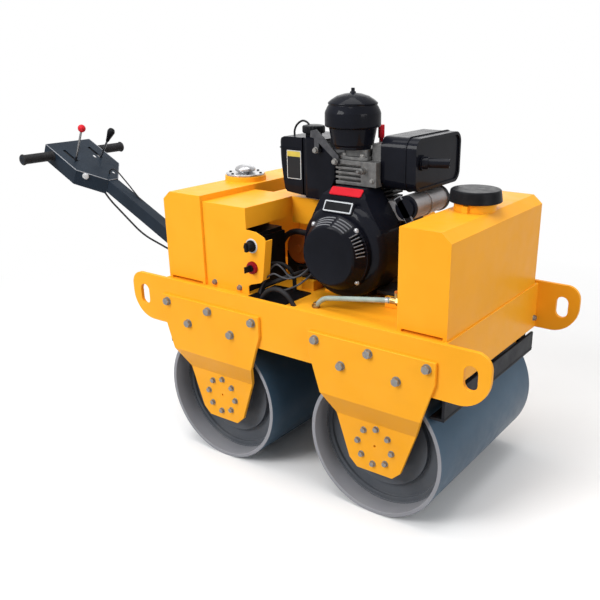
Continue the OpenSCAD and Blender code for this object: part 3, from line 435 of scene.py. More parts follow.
def outsideSpan(axis, low, high):    # mask: 1 before low and after high along one axis
    def build(nt, coords):
        along = axisOf(nt, coords, axis)
        return mathOf(nt, "MAXIMUM", spanOf(nt, along, (low - maskEdge, low), 1.0, 0.0),
                      spanOf(nt, along, (high, high + maskEdge), 0.0, 1.0))
    return build


def insideDrum(centre, radius):    # mask: 1 nearer to the axle than the radius
    def build(nt, coords):
        dx = mathOf(nt, "SUBTRACT", axisOf(nt, coords, "X"), float(centre[0]))
        dz = mathOf(nt, "SUBTRACT", axisOf(nt, coords, "Z"), float(centre[2]))
        squares = mathOf(nt, "ADD", mathOf(nt, "MULTIPLY", dx, dx), mathOf(nt, "MULTIPLY", dz, dz))
        return spanOf(nt, mathOf(nt, "SQRT", squares, 0.0), (radius, radius + 2 * maskEdge), 1.0, 0.0)
    return build


yellowFilm = {"cloudScale": 5.0, "low": (0.90, 0.378, 0.015), "high": (0.96, 0.416, 0.022),
              "scuffs": 0.16, "scuffColour": (0.78, 0.36, 0.06), "shine": 0.12,
              "dustTop": 0.55, "dust": 0.08, "dustColour": (0.62, 0.47, 0.28),
              "rough": (0.34, 0.46), "coat": 0.04, "coatRough": 0.16, "peelScale": 420.0, "peel": 0.08}
blackFilm = {"cloudScale": 8.0, "low": (0.010, 0.011, 0.014), "high": (0.014, 0.015, 0.019),
             "scuffs": 0.12, "scuffColour": (0.06, 0.06, 0.065), "shine": 0.09,
             "dustTop": 0.5, "dust": 0.15, "dustColour": (0.16, 0.14, 0.11),
             "rough": (0.38, 0.52), "coat": 0.01, "coatRough": 0.2, "peelScale": 500.0, "peel": 0.12}
engineFilm = {"cloudScale": 9.0, "low": (0.0035, 0.004, 0.007), "high": (0.007, 0.008, 0.013),
              "scuffs": 0.10, "scuffColour": (0.05, 0.05, 0.055), "shine": 0.02,
              "dustTop": 0.4, "dust": 0.1, "dustColour": (0.1, 0.09, 0.08),
              "rough": (0.28, 0.40), "coat": 0.16, "coatRough": 0.06, "peelScale": 360.0, "peel": 0.14}
drumFilm = {"cloudScale": 4.0, "low": (0.042, 0.080, 0.124), "high": (0.060, 0.107, 0.160),
            "scuffs": 0.14, "scuffColour": (0.26, 0.27, 0.29), "shine": 0.11,
            "dustTop": 0.3, "dust": 0.12, "dustColour": (0.22, 0.21, 0.19),
            "rough": (0.28, 0.40), "coat": 0.05, "coatRough": 0.2, "peelScale": 240.0, "peel": 0.14}
drumInside = dict(drumFilm, low=(0.235, 0.240, 0.265), high=(0.310, 0.312, 0.335), scuffs=0.2,
                  rough=(0.4, 0.55))
hubFilm = dict(drumFilm, low=(0.070, 0.078, 0.092), high=(0.105, 0.114, 0.130))
consoleFilm = dict(blackFilm, low=(0.008, 0.014, 0.023), high=(0.014, 0.023, 0.036), rough=(0.38, 0.50),
                   shine=0.10)
# light grey along the console's top edge: worn paint and a painted highlight on the edge
edgeWearAndHighlightFilm = dict(consoleFilm, low=(0.16, 0.17, 0.19), high=(0.34, 0.35, 0.37), scuffs=0.5)
ironFilm = dict(blackFilm, low=(0.014, 0.014, 0.016), high=(0.026, 0.026, 0.028), rough=(0.45, 0.62),
                peelScale=260.0, peel=0.35, coat=0.0)
# grey, not black: painted highlight on the starter cover's louvre bars and teeth
louvreHighlightFilm = dict(engineFilm, low=(0.13, 0.134, 0.145), high=(0.22, 0.225, 0.24), coat=0.2, shine=0.1)
# yellow paint darkened to red-brown: painted shade on the pump cover, which sits in shadow; the valve stem
# cap uses it too
rustAndShadeFilm = dict(yellowFilm, low=(0.36, 0.085, 0.014), high=(0.50, 0.14, 0.022), rough=(0.45, 0.6), coat=0.05,
                scuffs=0.4, scuffColour=(0.2, 0.07, 0.03))
redFilm = dict(engineFilm, low=(0.50, 0.010, 0.02), high=(0.62, 0.018, 0.03), scuffs=0.1,
               scuffColour=(0.6, 0.12, 0.1), dust=0.0)
keyFilm = dict(redFilm, low=(0.22, 0.006, 0.012), high=(0.30, 0.010, 0.018))
alloyLook = {"streak": (1, 1, 1), "grainScale": 70.0, "low": (0.075, 0.075, 0.077),
             "high": (0.18, 0.179, 0.175), "stain": 0.7, "stainColour": (0.05, 0.047, 0.044), "metal": 0.6,
             "rough": (0.42, 0.62), "bumpScale": 300.0, "bump": 0.35}
steelLook = {"streak": (1, 14, 1), "grainScale": 60.0, "low": (0.26, 0.263, 0.267),
             "high": (0.40, 0.40, 0.40), "stain": 0.25, "stainColour": (0.2, 0.19, 0.18), "metal": 1.0,
             "rough": (0.24, 0.40), "bumpScale": 220.0, "bump": 0.08}
zincLook = {"streak": (1, 1, 1), "grainScale": 120.0, "low": (0.17, 0.167, 0.16),
            "high": (0.29, 0.283, 0.272), "stain": 0.4, "stainColour": (0.2, 0.19, 0.18), "metal": 0.7,
            "rough": (0.34, 0.5), "bumpScale": 300.0, "bump": 0.12}
starterLook = dict(steelLook, low=(0.28, 0.275, 0.285), high=(0.42, 0.415, 0.425), metal=0.55,
                   rough=(0.4, 0.52))
leverLook = dict(steelLook, low=(0.16, 0.164, 0.168), high=(0.27, 0.27, 0.275), rough=(0.3, 0.42))
strapLook = dict(alloyLook, low=(0.035, 0.036, 0.042), high=(0.085, 0.087, 0.094), rough=(0.3, 0.45))
chromeLook = dict(steelLook, low=(0.36, 0.36, 0.37), high=(0.50, 0.50, 0.51), rough=(0.22, 0.34), metal=0.72,
                  streak=(1, 1, 1), stain=0.15)
brassLook = dict(steelLook, low=(0.29, 0.18, 0.065), high=(0.41, 0.27, 0.11), streak=(1, 1, 1))
rubberLook = {"low": (0.008, 0.008, 0.009), "high": (0.018, 0.018, 0.02), "rough": (0.45, 0.62),
              "shine": 0.16, "grainScale": 420.0, "bump": 0.25}
plasticLook = {"low": (0.007, 0.0075, 0.009), "high": (0.013, 0.0135, 0.016), "rough": (0.26, 0.40),
               "shine": 0.05, "grainScale": 600.0, "bump": 0.18}
hoseLook = {"low": (0.24, 0.30, 0.27), "high": (0.36, 0.43, 0.39), "rough": (0.2, 0.35), "shine": 0.25,
            "grainScale": 300.0, "bump": 0.1}
bezelLook = {"low": (0.52, 0.53, 0.54), "high": (0.64, 0.65, 0.66), "rough": (0.35, 0.5), "shine": 0.2,
             "grainScale": 500.0, "bump": 0.15}
wireLook = dict(rubberLook, low=(0.03, 0.031, 0.036), high=(0.07, 0.072, 0.08), rough=(0.3, 0.45))
matLook = dict(rubberLook, low=(0.003, 0.003, 0.0035), high=(0.006, 0.006, 0.007), shine=0.05)

plainFinishes = {
    "yellow": ("yellowPaint", paintShader, yellowFilm), "black": ("blackPaint", paintShader, blackFilm),
    "engine": ("engineBlack", paintShader, engineFilm), "console": ("consolePaint", paintShader, consoleFilm),
    "iron": ("engineIron", paintShader, ironFilm), "bar": ("louvrePaintedHighlight", paintShader, louvreHighlightFilm),
    "edgeWearAndHighlight": ("consoleEdgeWearAndPaintedHighlight", paintShader, edgeWearAndHighlightFilm), "hub": ("hubIron", paintShader, hubFilm),
    "rust": ("rustAndPaintedShade", paintShader, rustAndShadeFilm), "red": ("redPlastic", paintShader, redFilm),
    "keyRed": ("keyRingRed", paintShader, keyFilm), "alloy": ("castAlloy", metalShader, alloyLook),
    "zinc": ("zincBolts", metalShader, zincLook), "chrome": ("chromePlate", metalShader, chromeLook),
    "brass": ("brassFitting", metalShader, brassLook), "strap": ("strapSteel", metalShader, strapLook),
    "rubber": ("blackRubber", rubberShader, rubberLook), "hose": ("waterHoseWall", rubberShader, hoseLook),
    "plastic": ("blackPlastic", rubberShader, plasticLook), "bezel": ("greyBezel", rubberShader, bezelLook),
    "wire": ("wireSleeve", rubberShader, wireLook), "mat": ("deckMat", rubberShader, matLook)}
finishes = {key: oneFinish(*made) for key, made in plainFinishes.items()}

shellFace = 211.5    # radius where the paint of the rolled face starts
for label, axle in axles.items():
    inner = insideDrum(onFrame((axle, 0, place["axleZ"])), shellFace / 1000)
    finishes[label + "Shell"] = layeredFinish(label + "ShellPaint", (paintShader, drumFilm),
                                              (paintShader, drumInside, inner))
levers = {"ballAt": (-740, -place["leverY"], 160), "ball": 14.6, "footAt": (-740, -place["leverY"], 16),
          "foot": 25, "knobAt": (-714, place["leverY"], 136), "knob": 33.5}
ballMask, footMask, knobMask = (nearPoint(onHandle(levers[part + "At"]), levers[part] / 1000)
                                for part in ("ball", "foot", "knob"))
finishes["driveLever"] = layeredFinish("driveLeverAndBall", (metalShader, leverLook),
                                       (paintShader, redFilm, ballMask), (paintShader, blackFilm, footMask))
finishes["throttleLever"] = layeredFinish("throttleLeverAndKnob", (metalShader, leverLook),
                                          (rubberShader, plasticLook, knobMask))
starterBody = {"near": -78.0, "far": 91.2}    # bright body along Y, with a black cap at each end
capMask = outsideSpan("Y", starterBody["near"] / 1000, starterBody["far"] / 1000)
finishes["starter"] = layeredFinish("starterBodyAndCap", (metalShader, starterLook),
                                    (paintShader, engineFilm, capMask))

# rust_paint gets the red-brown finish, which on the pump cover is painted shade
slotFinish = {"yellow_paint": "yellow", "black_paint": "black", "console_paint": "console",
              "drum_paint": "hub", "hub_iron": "hub", "engine_black": "engine", "engine_iron": "iron",
              "cast_aluminium": "alloy", "chrome": "chrome", "black_plastic": "plastic",
              "black_rubber": "rubber", "brass": "brass", "hose_clear": "hose", "red_plastic": "red",
              "rust_paint": "rust"}
ownFinish = {"front_drum_shell": "frontShell", "rear_drum_shell": "rearShell", "drive_lever": "driveLever",
             "throttle_lever": "throttleLever", "starter_motor": "starter", "tank_strap": "strap"}
for sub in frame["record"]["subparts"]:
    obj = nodes[sub["node"]]
    obj.data.materials.clear()
    obj.data.materials.append(finishes[ownFinish.get(sub["node"]) or slotFinish[sub["material_slot"]]])


print("cords")
cordForm = {"count": 16, "step": 7.0, "easeSteps": 12, "wireRadius": 2.6}
blackCord = {"body": "frame", "look": "rubber", "slot": "black_rubber", "stiffness": "medium"}
cordRuns = {
    "water_hose": dict(blackCord, points=[[315.5, -262, 637], [80, -262, 599], [68, -262, 566]], bend=58,
                       radius=7.0, look="hose", slot="hose_clear"),
    "wire_loom": dict(blackCord, points=[[-150, -250, 566], [-136, -250, 590], [-30, -225, 640],
                                         [-64, -125, 619], [24, -25, 619]], bend=58, radius=7.0),
    "hydraulic_hoses": dict(blackCord, points=[[-168, -215, 566], [-168, -215, 650], [-72, -180, 650],
                                               [-72, -180, 566]], bend=50, radius=6.0, stiffness="stiff"),
    "hydraulic_hoses.low": dict(blackCord, points=[[-108, -288, 566], [-49, -290, 650], [10, -286, 566]],
                                bend=58, radius=7.0, stiffness="stiff"),
    "pump_hose": dict(blackCord, points=[[-206, -77, 566], [-206, -77, 722], [-35, -80, 718]], bend=76,
                      radius=9.0, stiffness="stiff"),
    "overflow_hose": dict(blackCord, points=[[-160, -50, 999], [-161, -50, 1013], [-152, -50, 1031],
                                             [-132, -50, 1044], [-114, -50, 1041], [-102, -50, 1030]],
                          radius=3.0),
    "throttle_cable": dict(blackCord, points=[[-640, -14, -22], [-580, -14, -48], [-370, -14, -74],
                                              [-110, -14, -22]], bend=300, radius=3.5, body="handle",
                           stiffness="stiff"),
    "console_wire": dict(blackCord, points=[[-628, 12, 25], [-626, 12, 44], [-602, 14, 57], [-540, 16, 44],
                                            [-476, 14, 30], [-438, 12, 24]], radius=2.5, body="handle")}
looseWires = {
    "panel_wire_high": [[-146, -238, 571], [-134, -242, 600], [-112, -246, 640], [-84, -247, 664],
                        [-62, -246, 656], [-44, -245, 640], [-26, -242, 634], [0, -226, 644],
                        [14, -206, 668], [18, -190, 690]],
    "panel_wire_mid": [[-136, -262, 571], [-126, -262, 598], [-106, -262, 626], [-82, -260, 640],
                       [-58, -258, 634], [-34, -254, 632], [-6, -240, 642], [10, -214, 662],
                       [10, -192, 684]],
    "panel_wire_low": [[-112, -272, 571], [-98, -274, 592], [-76, -275, 603], [-50, -274, 600],
                       [-26, -268, 606], [2, -246, 622], [22, -216, 648], [26, -194, 668]]}
for name, points in looseWires.items():
    cordRuns[name] = dict(blackCord, points=points, radius=cordForm["wireRadius"], look="wire")
for name, run in cordRuns.items():
    if "bend" in run:
        line = bentRoute(run["points"], run["bend"])
    else:
        line = smoothRoute(run["points"], cordForm["easeSteps"])
    path = onBody[run["body"]](evenSteps(line, cordForm["step"]))
    rings = tubeRings(path, run["radius"] / 1000, cordForm["count"])
    obj = stackPiece("cord_" + name, rings, finishes[run["look"]], run["body"])
    if name.split(".")[0] in nodes:
        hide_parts(name.split(".")[0])


print("floor")
ground = {"side": 30.0, "tone": 0.92, "vary": 0.01, "noise": (3.0, 2.0), "noiseSpan": (0.2, 0.8),
          "bounce": 0.38, "fadeSpan": (1.35, 2.6), "fadeBack": 0.1}
mat, nt, out, coords = newMaterial("paleFloor")
matte = nt.nodes.new("ShaderNodeBsdfDiffuse")
tones = [(ground["tone"] + change,) * 3 for change in (-ground["vary"], ground["vary"])]
cloud = noiseOf(nt, coords, *ground["noise"])
nt.links.new(rampOf(nt, cloud, ground["noiseSpan"], *tones), matte.inputs["Color"])
dull = nt.nodes.new("ShaderNodeBsdfDiffuse")    # what the floor sends back up onto the machine
dull.inputs["Color"].default_value = (ground["bounce"], ground["bounce"], ground["bounce"], 1)
plain = nt.nodes.new("ShaderNodeEmission")    # white far from the machine, where no shadow falls
plain.inputs["Color"].default_value = (1, 1, 1, 1)
plain.inputs["Strength"].default_value = sky["seen"]
away = distanceTo(nt, coords, (midX - ground["fadeBack"], 0, 0))
fade = mathOf(nt, "MULTIPLY", spanOf(nt, away, ground["fadeSpan"], 0.0, 1.0), seenDirect(nt))
under = blendOf(nt, seenDirect(nt), dull.outputs[0], matte.outputs[0])
nt.links.new(blendOf(nt, fade, under, plain.outputs[0]), out.inputs[0])
u = np.linspace(-ground["side"], ground["side"], 3)    # flat grid: x across, y along, z = 0
grid = np.stack(list(np.meshgrid(u, u)) + [np.zeros((3, 3))], axis=-1).reshape(-1, 3)
idx = np.arange(9).reshape(3, 3)
floorQuads = np.stack([idx[:-1, :-1], idx[:-1, 1:], idx[1:, 1:], idx[1:, :-1]], axis=-1).reshape(-1, 4)
floorMesh = makeMesh("floor", grid, floorQuads, [])
floor = bpy.data.objects.new("floor", floorMesh)
scene.collection.objects.link(floor)
floorMesh.materials.append(mat)


print("edges")
legs = ["leg_%s_%s" % (label, side) for label in axles for side in sides]
edges = {"width": 1.6, "segments": 2, "angle": 30, "foldAngle": 12, "merge": 0.0004, "flat": 0.6,
         "weight": 80, "unbevelled": ("recoil_cover",),
         "own": {"front_tank": 3.0, "rear_tank": 3.0, "muffler": 2.2, "engine_fuel_tank": 4.0,
                 "handle_boom": 3.0, "control_console": 2.2, "blower_housing": 3.0, "front_tank_cap": 2.5,
                 **dict.fromkeys(legs, 2.0)}}
for name, obj in nodes.items():
    if name in cordRuns or name in edges["unbevelled"]:
        continue
    merge = obj.modifiers.new("merge", "WELD")
    merge.merge_threshold = edges["merge"] / 1000
    flatten = obj.modifiers.new("flatten", "DECIMATE")
    flatten.decimate_type = "DISSOLVE"
    flatten.angle_limit = math.radians(edges["flat"])
    soft = obj.modifiers.new("edge", "BEVEL")
    soft.width = edges["own"].get(name, edges["width"]) / 1000
    soft.segments = edges["segments"]
    soft.limit_method = "ANGLE"
    soft.angle_limit = math.radians(edges["foldAngle"] if name in legs else edges["angle"])
    even = obj.modifiers.new("shade", "WEIGHTED_NORMAL")
    even.weight = edges["weight"]


print("bolts")
boltKinds = {"big": {"flat": 10.5, "head": 9.5, "washer": 13.2, "thick": 2.4},    # half widths and heights
             "mid": {"flat": 7.0, "head": 6.5, "washer": 9.4, "thick": 2.0},
             "small": {"flat": 6.5, "head": 6.0, "washer": 9.0, "thick": 1.8},
             "tiny": {"flat": 4.6, "head": 4.6, "washer": 6.6, "thick": 1.4}}
boltForm = {"count": 36, "sunk": 0.5, "washerEdge": 0.6, "corner": 1.5, "crown": 0.98, "face": 0.80,
            "rise": 0.1, "hexed": (0, 0, 0, 1, 1, 0.1, 0)}


def hexBolts(name, points, axis, kind):    # round washer and chamfered hexagon head, turned about the bolt
    b, k = boltForm, boltKinds[kind]
    top = k["thick"] + k["head"]
    rows = [(k["washer"], -b["sunk"]), (k["washer"], k["thick"] - b["washerEdge"]),
            (k["washer"] - b["washerEdge"], k["thick"]), (k["flat"], k["thick"]),
            (k["flat"], top - b["corner"]), (k["flat"] * b["crown"], top),
            (k["flat"] * b["face"], top + b["rise"])]
    rings = turnedRings(rows, b["count"], spotsOn(onFrame(points), axis), b["hexed"])
    return stackPiece(name, rings, finishes["zinc"], "frame")


legBolts = {"topZ": 505, "topX": (-173, 0, 173), "lowZ": 449, "lowX": (-87, 87), "ringR": 55.6,
            "ringTurn": -5, "ringCount": 8}
ringStep = 360 / legBolts["ringCount"]
ringAngle = np.radians(legBolts["ringTurn"] + ringStep * np.arange(legBolts["ringCount"]))
for label, axle in axles.items():
    for side, sign in sides.items():
        face, low = sign * place["legFace"], sign * place["legLow"]
        upper = [[axle + x, face, legBolts["topZ"]] for x in legBolts["topX"]]
        upper += [[axle + x, face, legBolts["lowZ"]] for x in legBolts["lowX"]]
        hexBolts("leg_bolts_%s_%s" % (label, side), upper, (0, sign, 0), "big")
        ring = np.stack([axle + legBolts["ringR"] * np.cos(ringAngle), np.full(len(ringAngle), low),
                         place["axleZ"] + legBolts["ringR"] * np.sin(ringAngle)], axis=1)
        hexBolts("bearing_bolts_%s_%s" % (label, side), ring, (0, sign, 0), "mid")
boxBolts = {"x": (-298, -198), "y": -280, "z": 583}
hexBolts("control_box_bolts", [[x, boxBolts["y"], boxBolts["z"]] for x in boxBolts["x"]], (0, -1, 0), "small")
beamBolts = {"x": 494.5, "y": (292, -292), "z": 459}
hexBolts("crossbeam_bolts", [[beamBolts["x"], y, beamBolts["z"]] for y in beamBolts["y"]], (1, 0, 0), "mid")


print("labels")
plateForm = {"points": 48, "minRound": 0.3, "sunk": 0.3, "wall": 0.6, "chamfer": 0.4, "step": 0.05}


def plateRings(w, h, r, rows):
    # rounded rectangle, set in row by row:
    # sign(cos) * (half width - r) + r * cos across, the same with sin up
    angle = (np.arange(plateForm["points"]) + 0.5) * 2 * math.pi / plateForm["points"]
    inset, height = np.asarray(rows, float).T[..., None]
    corner = np.maximum(r - inset, plateForm["minRound"])
    across = np.sign(np.cos(angle)) * (w / 2 - inset - corner) + corner * np.cos(angle)
    up = np.sign(np.sin(angle)) * (h / 2 - inset - corner) + corner * np.sin(angle)
    return np.stack([across, up, height + 0 * angle], axis=-1) / 1000


def laidOn(centre, rings, side, up):    # flat rings on two directions: centre + x * side + y * up + z * out
    return centre + rings @ np.stack([np.asarray(side, float), np.asarray(up, float), np.cross(side, up)])


def blankPlate(name, plate, material, slotName, body="frame", side=(1, 0, 0), up=(0, 0, 1)):
    # thin plate with a chamfered rim, its field inside the border marked for the finish
    w, h, r, thick = plate["size"]    # width, height, corner radius, thickness
    border = plate["border"]
    rows = [(0, -plateForm["sunk"]), (0, thick * plateForm["wall"]), (thick * plateForm["chamfer"], thick),
            (border, thick), (border + plateForm["step"], thick)]
    rings = laidOn(onBody[body](plate["at"]), plateRings(w, h, r, rows), side, up)
    obj = stackPiece(name, rings, material, body)
    inner = obj.data.attributes.new("inner", "FLOAT", "POINT")
    inner.data.foreach_set("value", np.repeat(np.array([0, 0, 0, 0, 1.0], np.float32), plateForm["points"]))
    return obj


labelGrain = {"field": 40.0, "fieldSpan": (0.3, 0.7), "faded": 0.85, "gloss": 90.0, "glossSpan": (0.3, 0.7),
              "rough": (0.4, 0.55), "shine": 0.06, "grain": 600.0, "bump": 0.05, "bumpDepth": 0.0003}


def labelFinish(name, rim, field):    # rim colour round a blank field, slightly faded and grainy
    g = labelGrain
    mat, nt, out, coords = newMaterial(name)
    shader = nt.nodes.new("ShaderNodeBsdfPrincipled")
    part = nt.nodes.new("ShaderNodeAttribute")
    part.attribute_name = "inner"
    faded = tuple(g["faded"] * c for c in field)
    fieldTone = rampOf(nt, noiseOf(nt, coords, g["field"]), g["fieldSpan"], faded, field)
    nt.links.new(mixOf(nt, part.outputs["Fac"], rim, fieldTone), shader.inputs["Base Color"])
    rough = spanOf(nt, noiseOf(nt, coords, g["gloss"]), g["glossSpan"], *g["rough"])
    nt.links.new(rough, shader.inputs["Roughness"])
    shader.inputs["Specular IOR Level"].default_value = g["shine"]
    bumpOf(nt, shader, noiseOf(nt, coords, g["grain"]), g["bump"], g["bumpDepth"])
    nt.links.new(shader.outputs[0], out.inputs[0])
    return mat


whiteOnBlack = labelFinish("blankPlateBlack", (0.50, 0.52, 0.54), (0.008, 0.0085, 0.010))
whiteOnGrey = labelFinish("blankPlateGrey", (0.60, 0.61, 0.61), (0.026, 0.027, 0.03))
# plain white finish for the two small white marks on the console top
whiteMarkFinish = labelFinish("whiteMarkPlate", (0.66, 0.67, 0.68), (0.70, 0.71, 0.72))
yellowBand = labelFinish("blankBandYellow", (0.60, 0.50, 0.12), (0.66, 0.52, 0.10))
# black field with a light grey rim: the rim is a painted highlight along the bracket's edges
blackWithHighlightRim = labelFinish("bracketPaintedHighlightRim", (0.20, 0.205, 0.22), (0.006, 0.006, 0.008))

tankLabel = {"at": (-126, -100, 924), "size": (52, 82, 3, 0.8), "border": 2.2}
blankPlate("tank_label", tankLabel, whiteOnGrey, "black_plastic")
tankBand = {"at": (-126, -100.7, 955), "size": (48, 15, 1.5, 0.5), "border": 0.6}
blankPlate("tank_label_band", tankBand, yellowBand, "black_plastic")
seal = {"at": (-83, -238, place["deckTop"]), "size": (138, 134, 8),    # rubber mat where hoses and wires pass
        "rows": [(0, -1), (0, 1.8), (0.8, 2.6), (5, 2.6), (6.5, 1.2)]}
sealRings = onFrame(seal["at"]) + plateRings(*seal["size"], seal["rows"])
stackPiece("deck_seal", sealRings, finishes["mat"], "frame")
pad = {"at": (92, -188.5, 841), "up": (0, 18.0, 32.0), "size": (100, 38, 6),    # block let into the housing
       "rows": [(0, -26), (0, -2.6), (0.9, -0.7), (2.6, 0)]}
padUp = unit(pad["up"])    # its face leans back
padRings = laidOn(onFrame(pad["at"]), plateRings(*pad["size"], pad["rows"]), (1, 0, 0), padUp)
stackPiece("label_pad", padRings, finishes["engine"], "frame")
ductLabel = {"at": pad["at"], "size": (92, 31, 3, 0.9), "border": 3.6}
blankPlate("duct_label", ductLabel, whiteOnBlack, "black_plastic", up=padUp)
# black strip whose light grey rim is a painted highlight on its edges
bracket = {"at": (240, -85, 832), "up": (-34.0, 0, 50.0), "size": (24, 78, 3, 5.0), "border": 2.6}
lean = unit(bracket["up"])    # strip down across the near end of the starter
blankPlate("starter_bracket", bracket, blackWithHighlightRim, "black_paint", side=(lean[2], 0, -lean[0]), up=lean)
ductStrip = {"at": (96, -153, 876), "up": (0, 22.0, 20.0), "size": (104, 27, 5, 3.0), "border": 3.0}
blankPlate("duct_strip", ductStrip, finishes["red"], "red_plastic", up=unit(ductStrip["up"]))


print("screws and caps")
domeForm = {"recoil": [(7.5, -1), (7.5, 2.2), (6.0, 2.6), (6.0, 5.0), (4.6, 6.4), (2.4, 7.0)],
            "filler": [(4.4, -0.5), (4.4, 1.6), (3.6, 2.8), (1.8, 3.4)], "count": 24}


def domeScrews(name, points, axis, kind, finish):    # domed profile turned about each screw
    rings = turnedRings(domeForm[kind], domeForm["count"], spotsOn(onFrame(points), axis))
    return stackPiece(name, rings, finishes[finish], "frame")


engine = {"x": 99, "crankZ": 717}
recoil = {"turns": (46, 134, 226, 316), "screwR": 101, "screwY": -212.0, "rimR": 104.6, "rimY": -209,
          "rim": 1.5}
turns = np.radians(np.array(recoil["turns"]))
recoilSpots = np.stack([engine["x"] + recoil["screwR"] * np.cos(turns),
                        np.full(len(turns), recoil["screwY"]),
                        engine["crankZ"] + recoil["screwR"] * np.sin(turns)], axis=1)
domeScrews("recoil_screws", recoilSpots, (0, -1, 0), "recoil", "chrome")
filler = {"x": -408.5, "z": 863.0, "screwR": 52, "from": 20, "count": 6}
turns = np.radians(filler["from"] + 360 / filler["count"] * np.arange(filler["count"]))
fillSpots = np.stack([filler["x"] + filler["screwR"] * np.cos(turns), filler["screwR"] * np.sin(turns),
                      np.full(len(turns), filler["z"])], axis=1)
domeScrews("filler_screws", fillSpots, (0, 0, 1), "filler", "black")
headNuts = {"top": [[52, -98, 965], [112, -98, 965]], "side": [[38, -112, 948], [152, -112, 905]],
            "strap": [[-30, -122, 975], [36, -122, 949]]}
hexBolts("head_nuts", headNuts["top"], (0, 0, 1), "small")
hexBolts("head_side_nuts", headNuts["side"], (0, -1, 0), "tiny")
hexBolts("strap_bolts", headNuts["strap"], (0, -1, 0), "small")


def turnedPiece(name, form, axis, finish, body="frame"):    # one turned profile at its own place
    spot = (onBody[body](form["at"]), basisFor(axis))
    rings = turnedRings(form["rows"], form["count"], [spot], form.get("hexed"), form.get("lobes"))
    return stackPiece(name, rings, finishes[finish], body)


switches = {"turnAt": (-143.5, -280.0, 717), "keyAt": (-143.5, -280.0, 653)}
bezel = {"at": switches["turnAt"], "rows": [(21, -0.5), (21, 1.6), (20, 2.4), (14, 2.4)], "count": 48}
turnedPiece("switch_bezel", bezel, (0, -1, 0), "bezel")
keyRing = {"at": switches["keyAt"], "rows": [(18.5, -0.5), (18.5, 5.5), (17.0, 9.0), (12.0, 9.6)],
           "count": 48}
turnedPiece("key_ring", keyRing, (0, -1, 0), "keyRed")
skirt = {"at": switches["turnAt"], "rows": [(14.5, 2), (14.5, 5), (13.2, 20), (11.5, 23), (6, 23.6)],
         "count": 60, "lobes": {"rows": (0, 1, 1, 1, 1), "count": 10, "depth": 0.05}}
turnedPiece("switch_skirt", skirt, (0, -1, 0), "plastic")
fuelCap = {"at": (-90, -50, 1003), "rows": [(31.5, 10), (33.2, 13), (33.2, 27), (31.0, 30.4), (20, 32.4)],
           "count": 120, "lobes": {"rows": (0, 1, 1, 1, 0), "count": 20, "depth": 0.045}}
turnedPiece("fuel_cap_grip", fuelCap, (0, 0, 1), "plastic")
cleanerNut = {"at": (73, -88, 1128), "rows": [(6.0, -3), (6.0, 4.4), (5.4, 5.2), (3.4, 5.4)], "count": 36,
              "hexed": (1, 1, 1, 0)}
turnedPiece("cleaner_nut", cleanerNut, (0, 0, 1), "zinc")


print("hand grips")
grip = {"x": -818, "z": 4, "inner": 99, "outer": 227, "radius": 17.0, "slack": 0.4, "steps": 170, "count": 40,
        "ribs": 17, "depth": 0.8, "ribSpan": (0.1, 0.9), "bead": 20.5, "endBead": (0.955, 0.03),
        "innerBead": 0.045, "innerShare": 0.8, "closeFrom": 0.985, "close": 9.0}
along = np.linspace(0, 1, grip["steps"])    # share of the way along, for a ribbed radius with end beads
ribbed = (along > grip["ribSpan"][0]) & (along < grip["ribSpan"][1])
ripple = np.where(ribbed, grip["depth"] * np.cos(2 * math.pi * grip["ribs"] * along), 0)
swell = np.exp(-((along - grip["endBead"][0]) / grip["endBead"][1]) ** 2)
swell += grip["innerShare"] * np.exp(-(along / grip["innerBead"]) ** 2)
closing = grip["close"] * np.clip((along - grip["closeFrom"]) / (1 - grip["closeFrom"]), 0, 1) ** 2
gripR = grip["radius"] - grip["slack"] + ripple + (grip["bead"] - grip["radius"]) * swell - closing
gripRows = np.stack([gripR, along * (grip["outer"] - grip["inner"])], axis=1)
gripSpots = [(onHandle((grip["x"], sign * grip["inner"], grip["z"])), basisFor((0, sign, 0)))
             for sign in sides.values()]
gripRings = turnedRings(gripRows, grip["count"], gripSpots)
obj = stackPiece("ribbed_grips", gripRings, finishes["rubber"], "handle")
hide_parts("hand_grips")


print("weld beads")
bead = {"radius": 4.2, "ripple": 0.16, "pitch": 5.0, "steps": 360, "count": 8}
welds = {"rim": {"y": 238, "radius": 199.5}, "hub": {"y": 244, "radius": 80.5}}


def ringBeads(name, centres, ringR, body, finish, form=bead):
    # small circle carried round a big one, r rippled on the way:
    # centre + (R + r cos) * outward + r sin * axis
    big = np.linspace(0, 2 * math.pi, form["steps"], endpoint=False)[:, None]
    small = np.linspace(0, 2 * math.pi, form["count"], endpoint=False)[None, :]
    waves = round(2 * math.pi * ringR / form["pitch"])
    r = form["radius"] * (1 + form["ripple"] * np.cos(waves * big))
    ring = np.stack([(ringR + r * np.cos(small)) * np.cos(big), r * np.sin(small) + 0 * big,
                     (ringR + r * np.cos(small)) * np.sin(big)], axis=-1) / 1000
    verts = onFrame(centres)[:, None, None, :] + ring[None]
    mesh = makeMesh(name, verts, loopFaces(len(centres), form["steps"], form["count"]), [])
    return addPiece(name, mesh, finishes[finish], body, sharp=80)


for label, axle in axles.items():
    for part, weld in welds.items():
        middles = [[axle, sign * weld["y"], place["axleZ"]] for sign in sides.values()]
        ringBeads("%s_weld_%s" % (part, label), middles, weld["radius"], label + "_drum", "hub")


